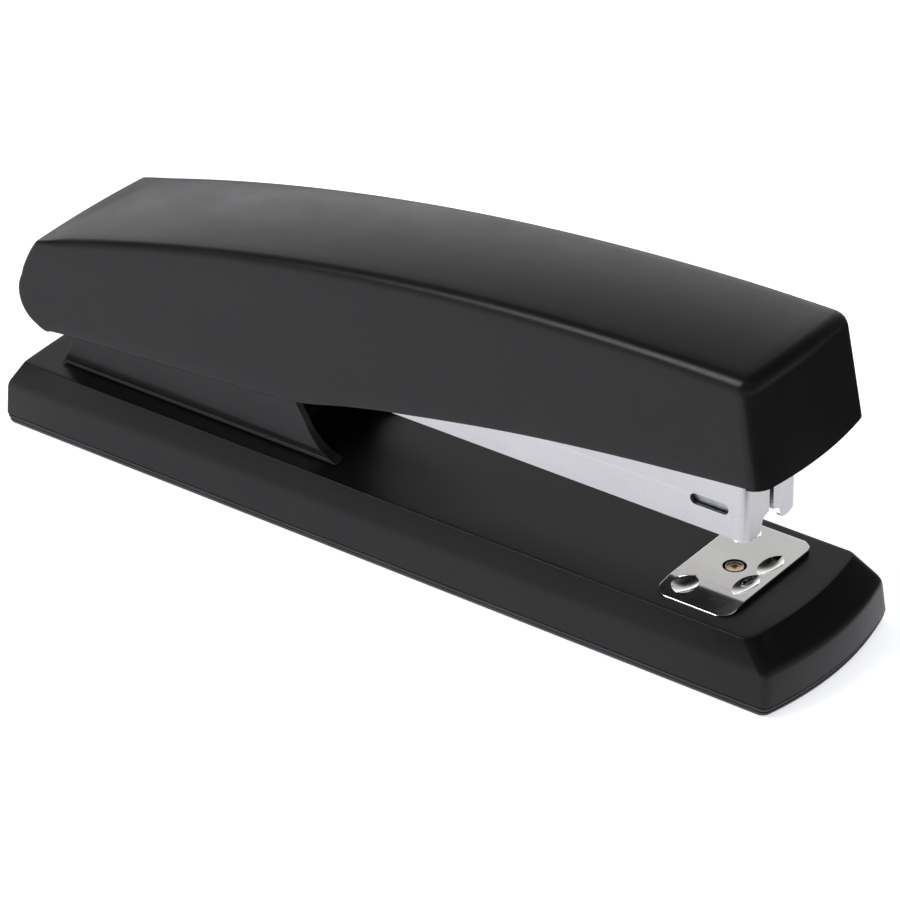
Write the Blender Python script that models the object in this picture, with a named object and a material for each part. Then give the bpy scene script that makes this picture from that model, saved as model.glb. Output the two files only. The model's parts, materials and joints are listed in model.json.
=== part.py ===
"""Full-strip desk stapler as separate pieces, in metres, +Z up.

+X runs from the hinge to the nose, +Y to the left, and the origin lies under the middle of the base.
Driving dimensions are in millimetres and every object is scaled to metres as it is made.
"""
import math

import bmesh
import bpy
from mathutils import Vector

MM = 0.001

# ---- driving dimensions, in millimetres -------------------------------------------------------
GAP = 0.3                    # running gap between neighbouring pieces

BASE_LENGTH = 190.0
BASE_HALF_WIDTH = 21.33      # at the seam with the foot pad
BASE_TOP_INSET = 2.76        # how much narrower each side of the flat top is
BASE_TOP_Z = 14.07
BASE_SHOULDER_Z = 9.23       # where the wall turns into the chamfer
PAD_TOP_Z = 2.0
BASE_WALL = 2.0
PLATE_SHEET = 1.5            # steel plate inside the base

PIVOT_X = -84.5              # the hinge pin's axis
PIVOT_Z = 30.6
PIN_RADIUS = 2.0

# half-widths of the lanes that the nested channels occupy, from the middle outwards
STAPLE_HALF = 6.3
GUIDE_INNER = 7.6
GUIDE_OUTER = 8.1            # the guide starts in front of the saddle's ears, in the same lane
SADDLE_INNER = 7.3
SADDLE_OUTER = 8.1
CHANNEL_HALF = 9.2
CHANNEL_WALL = 0.8
FRAME_INNER = 9.5
FRAME_OUTER = 10.4
BRACKET_INNER = 10.9
BRACKET_OUTER = 12.5
BRACKET_FOOT = 13.9
BRACKET_FLOOR = 1.6          # thickness of the bracket's floor
BRACKET_FLARE_TOP_Z = 19.5   # the walls start to spread into the foot below this
BRACKET_FLARE_POWER = 2.5
BRACKET_WALL_TOP_Z = 28.5
BRACKET_EAR_RADIUS = 5.0
BRACKET_FLOOR_FRONT_X = -29.5  # in front of this only the two flared walls go on
RIVET_SHANK = 1.2

COVER_HALF = 18.1            # the cover's half-width along its lower edge
COVER_DRAFT = 0.038          # how much it narrows per millimetre of height
COVER_WALL = 1.8
COVER_BACK_X = -86.8         # upper rear edge
COVER_BACK_Z = 42.8
COVER_NOSE_TOP_X = 83.9
COVER_TOP_Z = 67.0
COVER_NOSE_LOW_X = 87.6
COVER_NOSE_LOW_Z = 46.0
COVER_TOP_POWER = 2.2        # how the top line falls away from the nose
COVER_TAIL_RADIUS = 7.4      # rear ends of the cover's sides, round the hinge pin
COVER_CROWN = 1.3
COVER_NOSE_BULGE = 1.8
COVER_EDGE_RADIUS = 1.5
TAIL_HALF = 10.4             # the tongue that closes the cover's back between the bracket's ears
TAIL_SLOT_OUTER = 13.1
TAIL_END_ANGLE = 244.0       # the tongue ends here round the pin, so that it clears the magazine when open

CHANNEL_LOW_Z = 27.7
CHANNEL_TOP_Z = 39.6
CHANNEL_FRONT_X = 78.65
CHANNEL_BEND = 2.0
CHANNEL_FLOOR_REAR_X = -74.0  # the floor stops short of the saddle's ears
NOSE_TIP_Z = 26.7            # the two front tips hang lower than the sides
NOTCH_HALF = 3.0             # between the tips
NOTCH_TOP_Z = 30.1
DRIVER_SLOT_HALF = 0.75
WINDOW_X = 70.9
WINDOW_Z = 33.5

BLADE_X = 76.5
BLADE_HALF = 6.0
BLADE_THICK = 0.5
GUIDE_BACK_X = -67.0
GUIDE_FLOOR = 0.7            # thickness of the staple guide's floor
GUIDE_WALL_HEIGHT = 7.0
RAIL_BACK_X = -50.0
RAIL_RISE = 0.9              # open height under the rail
RAIL_HEIGHT = 5.5            # top of the rail above the guide's floor
RAIL_HALF = 5.4
RAIL_SHEET = 0.8
STRIP_LENGTH = 50.0
STAPLE_HEIGHT = 6.4
PUSHER_LENGTH = 14.0
PUSHER_HEIGHT = 8.5
SEAT_X = -55.0               # front of the pusher spring's seat
ROD_RISE = 2.7               # guide rod's axis above the guide's floor
ROD_RADIUS = 0.8

FRAME_ROOF = [(79.5, 60.3), (0.0, 55.5), (-70.0, 43.0), (-82.0, 38.5)]  # upper line of the handle frame
FRAME_SHEET = 1.2
DRIVER_TOP_Z = 58.2
DRIVER_FLANGE_BACK_X = 66.0

ANVIL_X = 70.9
ANVIL_LENGTH = 16.8
ANVIL_HALF_WIDTH = 15.2
ANVIL_THICK = 0.75
BUTTON_RADIUS = 5.0
BUTTON_ROOM = 2.0            # open ring round the button in the pad and the plate
BUTTON_TOP_Z = 6.0
POST_RADIUS = 1.8            # the button's post, which goes up through the base
POST_HOLE_RADIUS = 2.2
POCKET_DEPTH = 0.4

BRACKET_FOOT_Z = BASE_TOP_Z + GAP
BRACKET_FLOOR_Z = BRACKET_FOOT_Z + BRACKET_FLOOR
SADDLE_FLOOR_Z = BRACKET_FLOOR_Z + GAP
SADDLE_SHEET = 1.0
CHANNEL_FLOOR_Z = CHANNEL_LOW_Z + CHANNEL_WALL + GAP
TRACK_Z = CHANNEL_FLOOR_Z + GUIDE_FLOOR + GAP     # what runs on the guide's floor starts here
STRIP_TOP_Z = TRACK_Z + STAPLE_HEIGHT
BLADE_TIP_Z = STRIP_TOP_Z + 0.5
ROD_Z = TRACK_Z + ROD_RISE
STRIP_FRONT_X = BLADE_X - GAP
STRIP_BACK_X = STRIP_FRONT_X - STRIP_LENGTH
PUSHER_FRONT_X = STRIP_BACK_X - GAP
PUSHER_BACK_X = PUSHER_FRONT_X - PUSHER_LENGTH


# ---- materials --------------------------------------------------------------------------------
def make_material(name, color, roughness, metallic=0.0):
    """A plain Principled material."""
    material = bpy.data.materials.new(name)
    material.use_nodes = True
    shader = material.node_tree.nodes["Principled BSDF"]
    shader.inputs["Base Color"].default_value = (*color, 1.0)
    shader.inputs["Roughness"].default_value = roughness
    shader.inputs["Metallic"].default_value = metallic
    return material


# ---- outlines ---------------------------------------------------------------------------------
def arc(cx, cy, radius, start, end, steps):
    """Points on a circle from start to end, in degrees, both ends included."""
    points = []
    for i in range(steps + 1):
        angle = math.radians(start + (end - start) * i / steps)
        points.append((cx + radius * math.cos(angle), cy + radius * math.sin(angle)))
    return points


def bow(x_middle, x_corner, half_width, steps):
    """The bowed end of a plan outline, from -half_width to +half_width."""
    points = []
    for i in range(steps + 1):
        y = half_width * (2 * i / steps - 1)
        points.append((x_middle + (x_corner - x_middle) * (y / half_width) ** 2, y))
    return points


def base_outline(half_width, front_middle, front_corner, rear_middle, rear_corner):
    """Plan of the base at one height: straight sides and two bowed ends."""
    front = bow(front_middle, front_corner, half_width, 12)
    rear = bow(rear_middle, rear_corner, half_width, 6)
    return front + rear[::-1]


def rectangle(x0, x1, y0, y1):
    """Corners of a rectangle, anticlockwise."""
    return [(x0, y0), (x1, y0), (x1, y1), (x0, y1)]


def rounded_rectangle(half_x, half_y, radius, cx=0.0, cy=0.0, steps=4):
    """A rectangle with round corners."""
    points = []
    for sx, sy, start in ((1, -1, -90), (1, 1, 0), (-1, 1, 90), (-1, -1, 180)):
        corner_x = cx + sx * (half_x - radius)
        corner_y = cy + sy * (half_y - radius)
        points += arc(corner_x, corner_y, radius, start, start + 90, steps)
    return points


# ---- solids -----------------------------------------------------------------------------------
def finish_mesh(name, bm, material):
    """Turns a bmesh in millimetres into an object in metres."""
    bmesh.ops.recalc_face_normals(bm, faces=bm.faces)
    bmesh.ops.scale(bm, vec=(MM, MM, MM), verts=bm.verts)
    mesh = bpy.data.meshes.new(name)
    bm.to_mesh(mesh)
    bm.free()
    if material:
        mesh.materials.append(material)
    obj = bpy.data.objects.new(name, mesh)
    bpy.context.scene.collection.objects.link(obj)
    return obj


def lofted(name, rings, material=None):
    """A closed solid through rings of points that all have the same count."""
    bm = bmesh.new()
    loops = [[bm.verts.new(p) for p in ring] for ring in rings]
    count = len(rings[0])
    for low, high in zip(loops, loops[1:]):
        for i in range(count):
            j = (i + 1) % count
            bm.faces.new((low[i], low[j], high[j], high[i]))
    bm.faces.new(loops[0])
    bm.faces.new(loops[-1])
    return finish_mesh(name, bm, material)


def prism(name, outline, axis, low, high, material=None):
    """An outline extruded along X (outline in y, z), Y (x, z) or Z (x, y)."""
    def place(a, b, height):
        if axis == "X":
            return (height, a, b)
        if axis == "Y":
            return (a, height, b)
        return (a, b, height)
    return lofted(name, [[place(a, b, height) for a, b in outline] for height in (low, high)], material)


def block(name, x0, x1, y0, y1, z0, z1, material=None):
    """A rectangular block."""
    return prism(name, rectangle(x0, x1, y0, y1), "Z", z0, z1, material)


def turned(name, axis, centre, profile, steps, material=None):
    """A solid of revolution about an axis through centre; profile is (distance along axis, radius)."""
    rings = []
    for along, radius in profile:
        ring = []
        for i in range(steps):
            angle = 2 * math.pi * i / steps
            a = radius * math.cos(angle)
            b = radius * math.sin(angle)
            offset = {"X": (along, a, b), "Y": (a, along, b), "Z": (a, b, along)}[axis]
            ring.append(tuple(c + o for c, o in zip(centre, offset)))
        rings.append(ring)
    obj = lofted(name, rings, material)
    obj.data.shade_smooth()
    obj.data.set_sharp_from_angle(angle=math.radians(40))
    return obj


def coil(name, axis, centre, start, end, radius, wire, turns, material):
    """A compression spring along an axis, with capped wire ends."""
    steps_per_turn = 8
    sides = 5
    rings = []
    total = int(turns * steps_per_turn)
    pitch = (end - start) / turns
    for i in range(total + 1):
        angle = 2 * math.pi * i / steps_per_turn
        along = start + (end - start) * i / total
        outward = Vector((0.0, math.cos(angle), math.sin(angle)))
        sideways = Vector((0.0, -math.sin(angle), math.cos(angle)))
        tangent = (radius * sideways + Vector((pitch / (2 * math.pi), 0.0, 0.0))).normalized()
        other = tangent.cross(outward)
        middle = Vector((along, radius * math.cos(angle), radius * math.sin(angle)))
        ring = []
        for k in range(sides):
            turn = 2 * math.pi * k / sides
            p = middle + wire * (math.cos(turn) * outward + math.sin(turn) * other)
            if axis == "Z":
                p = Vector((p.y, p.z, p.x))
            ring.append(tuple(Vector(centre) + p))
        rings.append(ring)
    return lofted(name, rings, material)


def combine(obj, other, operation):
    """Adds, cuts or keeps the overlap of other on obj, and hides other."""
    modifier = obj.modifiers.new(operation.lower(), "BOOLEAN")
    modifier.operation = operation
    modifier.solver = "EXACT"
    modifier.object = other
    other.hide_render = True
    other.display_type = "WIRE"


def set_origin(obj, x, y, z):
    """Puts an object's origin on a joint's axis without moving its shape."""
    point = Vector((x * MM, y * MM, z * MM))
    for vertex in obj.data.vertices:
        vertex.co -= point
    obj.location = point


def pin_hole(owner, half_width):
    """A cutter for the hinge pin's running hole in a piece."""
    profile = [(-half_width, PIN_RADIUS + GAP), (half_width, PIN_RADIUS + GAP)]
    return turned(f"{owner}_pin_hole", "Y", (PIVOT_X, 0, PIVOT_Z), profile, 20)


# ---- base -------------------------------------------------------------------------------------
def base_ring(z, half_width, front_middle, front_corner, rear_middle, rear_corner):
    """One height of the base shell."""
    outline = base_outline(half_width, front_middle, front_corner, rear_middle, rear_corner)
    return [(x, y, z) for x, y in outline]


def build_base_shell(material):
    """Moulded base with a chamfered shoulder, hollow from below, with the anvil post's hole."""
    half = BASE_LENGTH / 2
    top_half = BASE_HALF_WIDTH - BASE_TOP_INSET
    shell = lofted("base_shell", [
        base_ring(PAD_TOP_Z + GAP, BASE_HALF_WIDTH, half, half - 2.9, -half, 1.0 - half),
        base_ring(BASE_SHOULDER_Z, BASE_HALF_WIDTH - 0.58, half - 0.5, half - 3.7, 0.2 - half, 1.2 - half),
        base_ring(BASE_TOP_Z, top_half, half - 6.7, half - 8.8, 3.3 - half, 4.05 - half),
    ], material)
    cavity_half = top_half - BASE_WALL + 0.6
    cavity = prism("base_cavity", rectangle(9.0 - half, half - 12.0, -cavity_half, cavity_half), "Z",
                   0.0, BASE_TOP_Z - BASE_WALL)
    combine(shell, cavity, "DIFFERENCE")
    profile = [(BUTTON_TOP_Z, POST_HOLE_RADIUS), (BASE_TOP_Z + 2, POST_HOLE_RADIUS)]
    combine(shell, turned("anvil_post_hole", "Z", (ANVIL_X, 0, 0), profile, 20), "DIFFERENCE")
    cut_rivet_holes("shell", shell, BASE_TOP_Z - BASE_WALL - 1, BASE_TOP_Z + 1)


def button_hole(name):
    """A cutter for the wide round opening under the anvil button."""
    radius = BUTTON_RADIUS + BUTTON_ROOM
    return turned(name, "Z", (ANVIL_X, 0, 0), [(-2, radius), (9, radius)], 28)


def build_base_plate(material):
    """Steel plate inside the base, with a hole round the anvil button."""
    half = BASE_LENGTH / 2
    half_width = BASE_HALF_WIDTH - BASE_TOP_INSET - BASE_WALL + 0.3
    low = PAD_TOP_Z + GAP
    plate = prism("base_plate", rectangle(9.3 - half, half - 12.3, -half_width, half_width), "Z",
                  low, low + PLATE_SHEET, material)
    combine(plate, button_hole("plate_button_hole"), "DIFFERENCE")


def build_foot_pad(material):
    """Rubber pad that covers the underside, drawn in towards the floor, with the button's hole."""
    half = BASE_LENGTH / 2
    pad = lofted("foot_pad", [
        base_ring(0.0, BASE_HALF_WIDTH - 1.0, half - 0.9, half - 3.9, 0.9 - half, 1.9 - half),
        base_ring(1.0, BASE_HALF_WIDTH - 0.35, half - 0.3, half - 3.3, 0.3 - half, 1.3 - half),
        base_ring(PAD_TOP_Z, BASE_HALF_WIDTH - 0.15, half - 0.15, half - 3.05, 0.15 - half, 1.15 - half),
    ], material)
    combine(pad, button_hole("pad_button_hole"), "DIFFERENCE")


def bracket_side_profile():
    """The hinge bracket seen from the side: flared ends, long low walls and an ear round the pin."""
    foot_z = BRACKET_FOOT_Z
    points = [(-84.2, foot_z), (-82.9, 17.5), (-81.9, 22.0), (PIVOT_X - 2.2, 26.1)]
    points += arc(PIVOT_X, PIVOT_Z, BRACKET_EAR_RADIUS, 225, 20, 9)
    points += [(-74.0, BRACKET_WALL_TOP_Z), (-24.6, BRACKET_WALL_TOP_Z), (-24.3, 23.9)]
    points += [(-23.0, 21.8), (-21.4, 19.1), (-19.6, 17.2), (-17.3, 15.5)]
    return points + [(-14.0, foot_z + 0.2), (-13.9, foot_z)]


def bracket_wall_line(half_width):
    """One face of the bracket's right wall as (y, z), from the spread foot up to the straight wall."""
    rise = BRACKET_FLARE_TOP_Z - BRACKET_FOOT_Z
    steps = 5
    line = []
    for i in range(steps + 1):
        share = 1.0 - i / steps
        spread = (BRACKET_FOOT - BRACKET_OUTER) * share ** BRACKET_FLARE_POWER
        line.append((half_width + spread, BRACKET_FOOT_Z + rise * i / steps))
    return line


def mirrored(right):
    """A closed (y, z) outline from its right half."""
    return right + [(-y, z) for y, z in right[::-1]]


def build_hinge_bracket(material):
    """Pressed channel that stands on the base: flared foot, floor, two walls and two ears."""
    high = PIVOT_Z + 8
    right = bracket_wall_line(BRACKET_OUTER)
    right += [(BRACKET_OUTER, high), (BRACKET_INNER, high), (BRACKET_INNER, BRACKET_FLOOR_Z)]
    bracket = prism("hinge_bracket", mirrored(right), "X", -94.0, -10.0, material)
    side = prism("bracket_side", bracket_side_profile(), "Y", -20.0, 20.0)
    combine(bracket, side, "INTERSECT")
    inner = bracket_wall_line(BRACKET_INNER)
    right = [(inner[0][0], BRACKET_FOOT_Z - 1)] + inner + [(BRACKET_INNER, high)]
    relief = prism("bracket_front_relief", mirrored(right), "X", BRACKET_FLOOR_FRONT_X, -9.0)
    combine(bracket, relief, "DIFFERENCE")
    combine(bracket, pin_hole("bracket", 16), "DIFFERENCE")
    cut_rivet_holes("bracket", bracket, BRACKET_FOOT_Z - 1, BRACKET_FLOOR_Z + 1)


def rivet_places():
    """The four rivets through the bracket's floor."""
    return [(x, y) for x in (-77.5, -33.0) for y in (-7.0, 7.0)]


def cut_rivet_holes(owner, obj, low, high):
    """Clearance holes for the bracket's rivets."""
    for number, (x, y) in enumerate(rivet_places(), 1):
        profile = [(low, RIVET_SHANK + GAP), (high, RIVET_SHANK + GAP)]
        hole = turned(f"{owner}_rivet_hole_{number}", "Z", (x, y, 0), profile, 12)
        combine(obj, hole, "DIFFERENCE")


def build_bracket_rivets(material):
    """Four rivets through the bracket's floor and the top of the base, headed at both ends."""
    upper = BRACKET_FLOOR_Z + GAP
    lower = BASE_TOP_Z - BASE_WALL - GAP
    head = RIVET_SHANK + 1.0
    profile = [(lower - 0.8, 1.4), (lower - 0.4, 2.0), (lower, head), (lower, RIVET_SHANK)]
    profile += [(upper, RIVET_SHANK), (upper, head)]
    profile += [(upper + 0.35, 2.1), (upper + 0.6, 1.4), (upper + 0.7, 0.5)]
    for number, (x, y) in enumerate(rivet_places(), 1):
        turned(f"bracket_rivet_{number}", "Z", (x, y, 0), profile, 14, material)


def build_hinge_pin(material):
    """The one hinge pin, with a head on its right end and a clip on its left."""
    reach = BRACKET_OUTER + 0.9
    groove = BRACKET_OUTER + GAP
    head = PIN_RADIUS + 1.4
    neck = PIN_RADIUS - 0.5
    profile = [(-reach - 0.5, head - 0.4), (-reach, head), (-groove, head), (-groove, PIN_RADIUS),
               (groove, PIN_RADIUS), (groove, neck), (reach - 0.2, neck), (reach - 0.2, PIN_RADIUS),
               (reach + 0.4, PIN_RADIUS), (reach + 0.6, 1.6)]
    turned("hinge_pin", "Y", (PIVOT_X, 0, PIVOT_Z), profile, 20, material)
    ring = arc(PIVOT_X, PIVOT_Z, head, -60, 240, 14) + arc(PIVOT_X, PIVOT_Z, neck + GAP, 240, -60, 12)
    prism("pin_clip", ring, "Y", groove + 0.05, groove + 0.35, material)


def build_anvil(plate_material, rivet_material, steel):
    """Turning anvil: plate on the base, rivet in it, push button and spring below."""
    seat_z = BASE_TOP_Z + GAP
    top_z = seat_z + ANVIL_THICK
    outline = rounded_rectangle(ANVIL_LENGTH / 2, ANVIL_HALF_WIDTH, 3.0, ANVIL_X)
    low = [(x, y, seat_z) for x, y in outline]
    shrink = 0.97                # the rolled edge draws the upper face in
    high = [(ANVIL_X + (x - ANVIL_X) * shrink, y * shrink, top_z) for x, y in outline]
    plate = lofted("anvil_plate", [low, high], plate_material)
    hole = turned("anvil_rivet_hole", "Z", (ANVIL_X, 0, 0), [(seat_z - 1, 2.3), (top_z + 1, 2.3)], 20)
    combine(plate, hole, "DIFFERENCE")
    for index, (x, y, length, width) in enumerate(leaf_pockets()):
        outline = leaf(x, y, length, width)
        pocket = prism(f"anvil_pocket_{index}", outline, "Z", top_z - POCKET_DEPTH, top_z + 1)
        combine(plate, pocket, "DIFFERENCE")
    rivet = turned("anvil_rivet", "Z", (ANVIL_X, 0, 0),
                   [(seat_z + 0.1, 1.2), (seat_z + 0.1, 2.0), (top_z, 2.0), (top_z + 0.05, 1.7),
                    (top_z - 0.25, 1.0), (top_z - 0.3, 0.5)], 20, rivet_material)
    button = turned("anvil_button", "Z", (ANVIL_X, 0, 0),
                    [(1.2, BUTTON_RADIUS - 0.6), (1.8, BUTTON_RADIUS), (BUTTON_TOP_Z, BUTTON_RADIUS),
                     (BUTTON_TOP_Z, POST_RADIUS), (seat_z - 0.2, POST_RADIUS)], 24, plate_material)
    spring_top = BASE_TOP_Z - BASE_WALL - 0.6
    coil("anvil_spring", "Z", (ANVIL_X, 0, 0), BUTTON_TOP_Z + 0.6, spring_top, 3.2, 0.3, 4, steel)
    set_origin(plate, ANVIL_X, 0, seat_z)
    set_origin(rivet, ANVIL_X, 0, seat_z)
    set_origin(button, ANVIL_X, 0, BUTTON_TOP_Z)


def leaf(x, y, length, width):
    """A pointed oval that lies across the anvil."""
    points = []
    steps = 6
    for side in (1, -1):
        for i in range(steps):
            share = i / steps
            along = side * (2 * share - 1)
            points.append((x - side * width / 2 * (1 - along ** 2), y + along * length / 2))
    return points


def leaf_pockets():
    """The clinching pockets: a close pair at the front and a wide pair behind."""
    return [(ANVIL_X + 5.1, -3.7, 6.6, 2.8), (ANVIL_X + 5.1, 3.7, 6.6, 2.8),
            (ANVIL_X - 4.9, -9.4, 6.6, 3.4), (ANVIL_X - 4.9, 9.4, 6.6, 3.4)]


# ---- latch saddle and return spring ---------------------------------------------------------
def build_latch_saddle(material):
    """Inner saddle on the hinge pin: it carries the return spring and stays down in use."""
    side = arc(PIVOT_X, PIVOT_Z, 4.6, 95, 312, 10)
    side += [(-79.2, 25.0), (-72.5, SADDLE_FLOOR_Z), (-40.0, SADDLE_FLOOR_Z), (-40.0, 20.0), (-74.0, 26.5),
             (-77.5, 29.0)]
    saddle = prism("latch_saddle", side, "Y", -SADDLE_OUTER, SADDLE_OUTER, material)
    floor_top = SADDLE_FLOOR_Z + SADDLE_SHEET
    inside = block("saddle_inside", -95, -30, -SADDLE_INNER, SADDLE_INNER, floor_top, 45)
    combine(saddle, inside, "DIFFERENCE")
    combine(saddle, pin_hole("saddle", 12), "DIFFERENCE")
    set_origin(saddle, PIVOT_X, 0, PIVOT_Z)


def strap(name, centre_line, thickness, half_width, material):
    """A flat spring: a line in x and z with a thickness, extruded across Y."""
    upper = []
    lower = []
    count = len(centre_line)
    for i, (x, z) in enumerate(centre_line):
        before = centre_line[max(i - 1, 0)]
        after = centre_line[min(i + 1, count - 1)]
        along = Vector((after[0] - before[0], after[1] - before[1])).normalized()
        shift = Vector((-along.y, along.x)) * thickness / 2
        upper.append((x + shift.x, z + shift.y))
        lower.append((x - shift.x, z - shift.y))
    return prism(name, upper + lower[::-1], "Y", -half_width, half_width, material)


def build_return_spring(material):
    """Leaf that lifts the magazine: flat on the saddle's floor, then rising to its underside."""
    thick = 0.5
    low = SADDLE_FLOOR_Z + SADDLE_SHEET + GAP + thick / 2
    high = CHANNEL_LOW_Z - GAP - thick / 2
    flat_end = -64.0
    tip = -43.0
    line = [(-70.0, low)]
    steps = 8
    for i in range(steps + 1):
        share = i / steps
        ease = share * share * (3 - 2 * share)
        line.append((flat_end + (tip - flat_end) * share, low + (high - low) * ease))
    line.append((tip + 1.5, high - 0.2))
    spring = strap("return_spring", line, thick, 5.0, material)
    set_origin(spring, PIVOT_X, 0, PIVOT_Z)


# ---- magazine ---------------------------------------------------------------------------------
def channel_plan(half_width, front_x, radius):
    """Plan of the magazine: straight sides and two bent front corners."""
    points = [(-96.0, -half_width)]
    points += arc(front_x - radius, -half_width + radius, radius, -90, 0, 4)
    points += arc(front_x - radius, half_width - radius, radius, 0, 90, 4)
    points.append((-96.0, half_width))
    return points


def channel_side_profile():
    """The magazine from the side, with an ear round the hinge pin and a nose that hangs lower."""
    points = arc(PIVOT_X, PIVOT_Z, 4.9, 110, 322, 12)
    bend_x = CHANNEL_FRONT_X - CHANNEL_BEND
    points += [(PIVOT_X + 6.0, CHANNEL_LOW_Z), (bend_x + 0.2, CHANNEL_LOW_Z), (bend_x + 1.5, NOSE_TIP_Z),
               (90.0, NOSE_TIP_Z)]
    points += [(90.0, CHANNEL_TOP_Z), (-60.0, CHANNEL_TOP_Z), (-74.0, CHANNEL_TOP_Z - 1.1)]
    return points


def obround(cx, cz, half_length, radius):
    """A slot with round ends."""
    right = arc(cx + half_length - radius, cz, radius, -90, 90, 6)
    left = arc(cx - half_length + radius, cz, radius, 90, 270, 6)
    return right + left


def build_magazine_channel(material):
    """Steel channel that holds the staples, open above, its front bent round with a driver slot."""
    outer = channel_plan(CHANNEL_HALF, CHANNEL_FRONT_X, CHANNEL_BEND)
    inner_half = CHANNEL_HALF - CHANNEL_WALL
    front_x = CHANNEL_FRONT_X - CHANNEL_WALL
    inner = channel_plan(inner_half, front_x, CHANNEL_BEND - CHANNEL_WALL)
    channel = prism("magazine_channel", outer, "Z", 20.0, CHANNEL_TOP_Z + 5, material)
    side = prism("channel_side", channel_side_profile(), "Y", -20, 20)
    combine(channel, side, "INTERSECT")
    floor_z = CHANNEL_LOW_Z + CHANNEL_WALL
    combine(channel, prism("channel_inside", inner, "Z", floor_z, CHANNEL_TOP_Z + 8), "DIFFERENCE")
    rear_gap = block("floor_rear", -96.0, CHANNEL_FLOOR_REAR_X, -inner_half, inner_half, 20, floor_z + 1)
    combine(channel, rear_gap, "DIFFERENCE")
    exit_box = block("staple_exit", BLADE_X - 0.9, front_x, -7.2, 7.2, 20, floor_z + 1)
    combine(channel, exit_box, "DIFFERENCE")
    slot = block("driver_slot", front_x - 1, 84.0, -DRIVER_SLOT_HALF, DRIVER_SLOT_HALF, 20, 50.0)
    combine(channel, slot, "DIFFERENCE")
    notch = block("driver_notch", front_x - 1, 84.0, -NOTCH_HALF, NOTCH_HALF, 20, NOTCH_TOP_Z)
    combine(channel, notch, "DIFFERENCE")
    window = prism("staple_window", obround(WINDOW_X, WINDOW_Z, 4.3, 1.15), "Y", -20, 20)
    combine(channel, window, "DIFFERENCE")
    combine(channel, pin_hole("channel", 12), "DIFFERENCE")
    set_origin(channel, PIVOT_X, 0, PIVOT_Z)


def build_staple_rail(material):
    """Inner staple guide: a floor and two low walls, and between them the rail that the staples straddle."""
    low = CHANNEL_FLOOR_Z
    floor_top = low + GUIDE_FLOOR
    front_x = BLADE_X - 0.7
    wall_top = low + GUIDE_WALL_HEIGHT
    rail = block("staple_rail", GUIDE_BACK_X, front_x, -GUIDE_OUTER, GUIDE_OUTER, low, wall_top, material)
    trough = block("guide_inside", GUIDE_BACK_X - 3, front_x + 1, -GUIDE_INNER, GUIDE_INNER, floor_top, 60)
    combine(rail, trough, "DIFFERENCE")
    top = TRACK_Z + RAIL_HEIGHT
    core = block("rail_core", RAIL_BACK_X, front_x, -RAIL_HALF, RAIL_HALF, low + 0.1, top)
    combine(rail, core, "UNION")
    inner = RAIL_HALF - RAIL_SHEET
    roof = top - RAIL_SHEET
    hollow = block("rail_inside", RAIL_BACK_X - 10, front_x - 3.3, -inner, inner, floor_top, roof)
    combine(rail, hollow, "DIFFERENCE")
    legs = TRACK_Z + RAIL_RISE
    under = block("rail_under", RAIL_BACK_X + 4, front_x - 4.3, -GUIDE_INNER, GUIDE_INNER, floor_top, legs)
    combine(rail, under, "DIFFERENCE")


def build_staple_strip(material):
    """A part-used strip of staples as one comb of wire."""
    wire = 0.5
    low = TRACK_Z
    outline = [(-STAPLE_HALF, low), (-STAPLE_HALF + wire, low), (-STAPLE_HALF + wire, STRIP_TOP_Z - wire),
               (STAPLE_HALF - wire, STRIP_TOP_Z - wire), (STAPLE_HALF - wire, low), (STAPLE_HALF, low),
               (STAPLE_HALF, STRIP_TOP_Z), (-STAPLE_HALF, STRIP_TOP_Z)]
    return prism("staple_strip", outline, "X", STRIP_BACK_X, STRIP_FRONT_X, material)


def build_pusher(material):
    """Follower that rides on the rail and presses the strip forward, with the rod's hole."""
    low = TRACK_Z
    high = TRACK_Z + PUSHER_HEIGHT
    pusher = block("pusher", PUSHER_BACK_X, PUSHER_FRONT_X, -STAPLE_HALF, STAPLE_HALF, low, high, material)
    outer = RAIL_HALF + GAP
    inner = RAIL_HALF - RAIL_SHEET - GAP
    bottom = low + RAIL_RISE - GAP
    roof = low + RAIL_HEIGHT - RAIL_SHEET - GAP
    top = low + RAIL_HEIGHT + GAP
    track = [(-outer, bottom), (-inner, bottom), (-inner, roof), (inner, roof)]
    track += [(inner, bottom), (outer, bottom), (outer, top), (-outer, top)]
    combine(pusher, prism("pusher_track", track, "X", -80, 80), "DIFFERENCE")
    rod = turned("pusher_rod_hole", "X", (0, 0, ROD_Z), [(-60, ROD_RADIUS + GAP), (60, ROD_RADIUS + GAP)], 14)
    combine(pusher, rod, "DIFFERENCE")
    finger = block("pusher_step", PUSHER_BACK_X - 1, PUSHER_FRONT_X - 4, -9, 9, high - 1.4, high + 4)
    combine(pusher, finger, "DIFFERENCE")


def build_magazine_inside(steel, dark):
    """Spring seat, guide rod and pusher spring, and the rivet that holds the seat."""
    floor_z = TRACK_Z
    seat_top = floor_z + 8.0
    foot_top = floor_z + 1.0
    seat = block("spring_seat", SEAT_X - 1.2, SEAT_X, -STAPLE_HALF, STAPLE_HALF, floor_z, seat_top, steel)
    combine(seat, block("seat_foot", SEAT_X - 10.0, SEAT_X - 0.5, -5.0, 5.0, floor_z, foot_top), "UNION")
    head = [(0, 1.8), (0.4, 1.7), (0.8, 1.1), (1.0, 0.5)]
    turned("seat_rivet", "Z", (SEAT_X - 6.0, 0, foot_top + GAP), head, 14, steel)
    ends = [(SEAT_X + GAP, ROD_RADIUS), (BLADE_X - 4.4, ROD_RADIUS)]
    turned("guide_rod", "X", (0, 0, ROD_Z), ends, 12, steel)
    coil("pusher_spring", "X", (0, 0, ROD_Z), SEAT_X + 0.7, PUSHER_BACK_X - 0.7, 1.5, 0.22, 22, dark)


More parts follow.
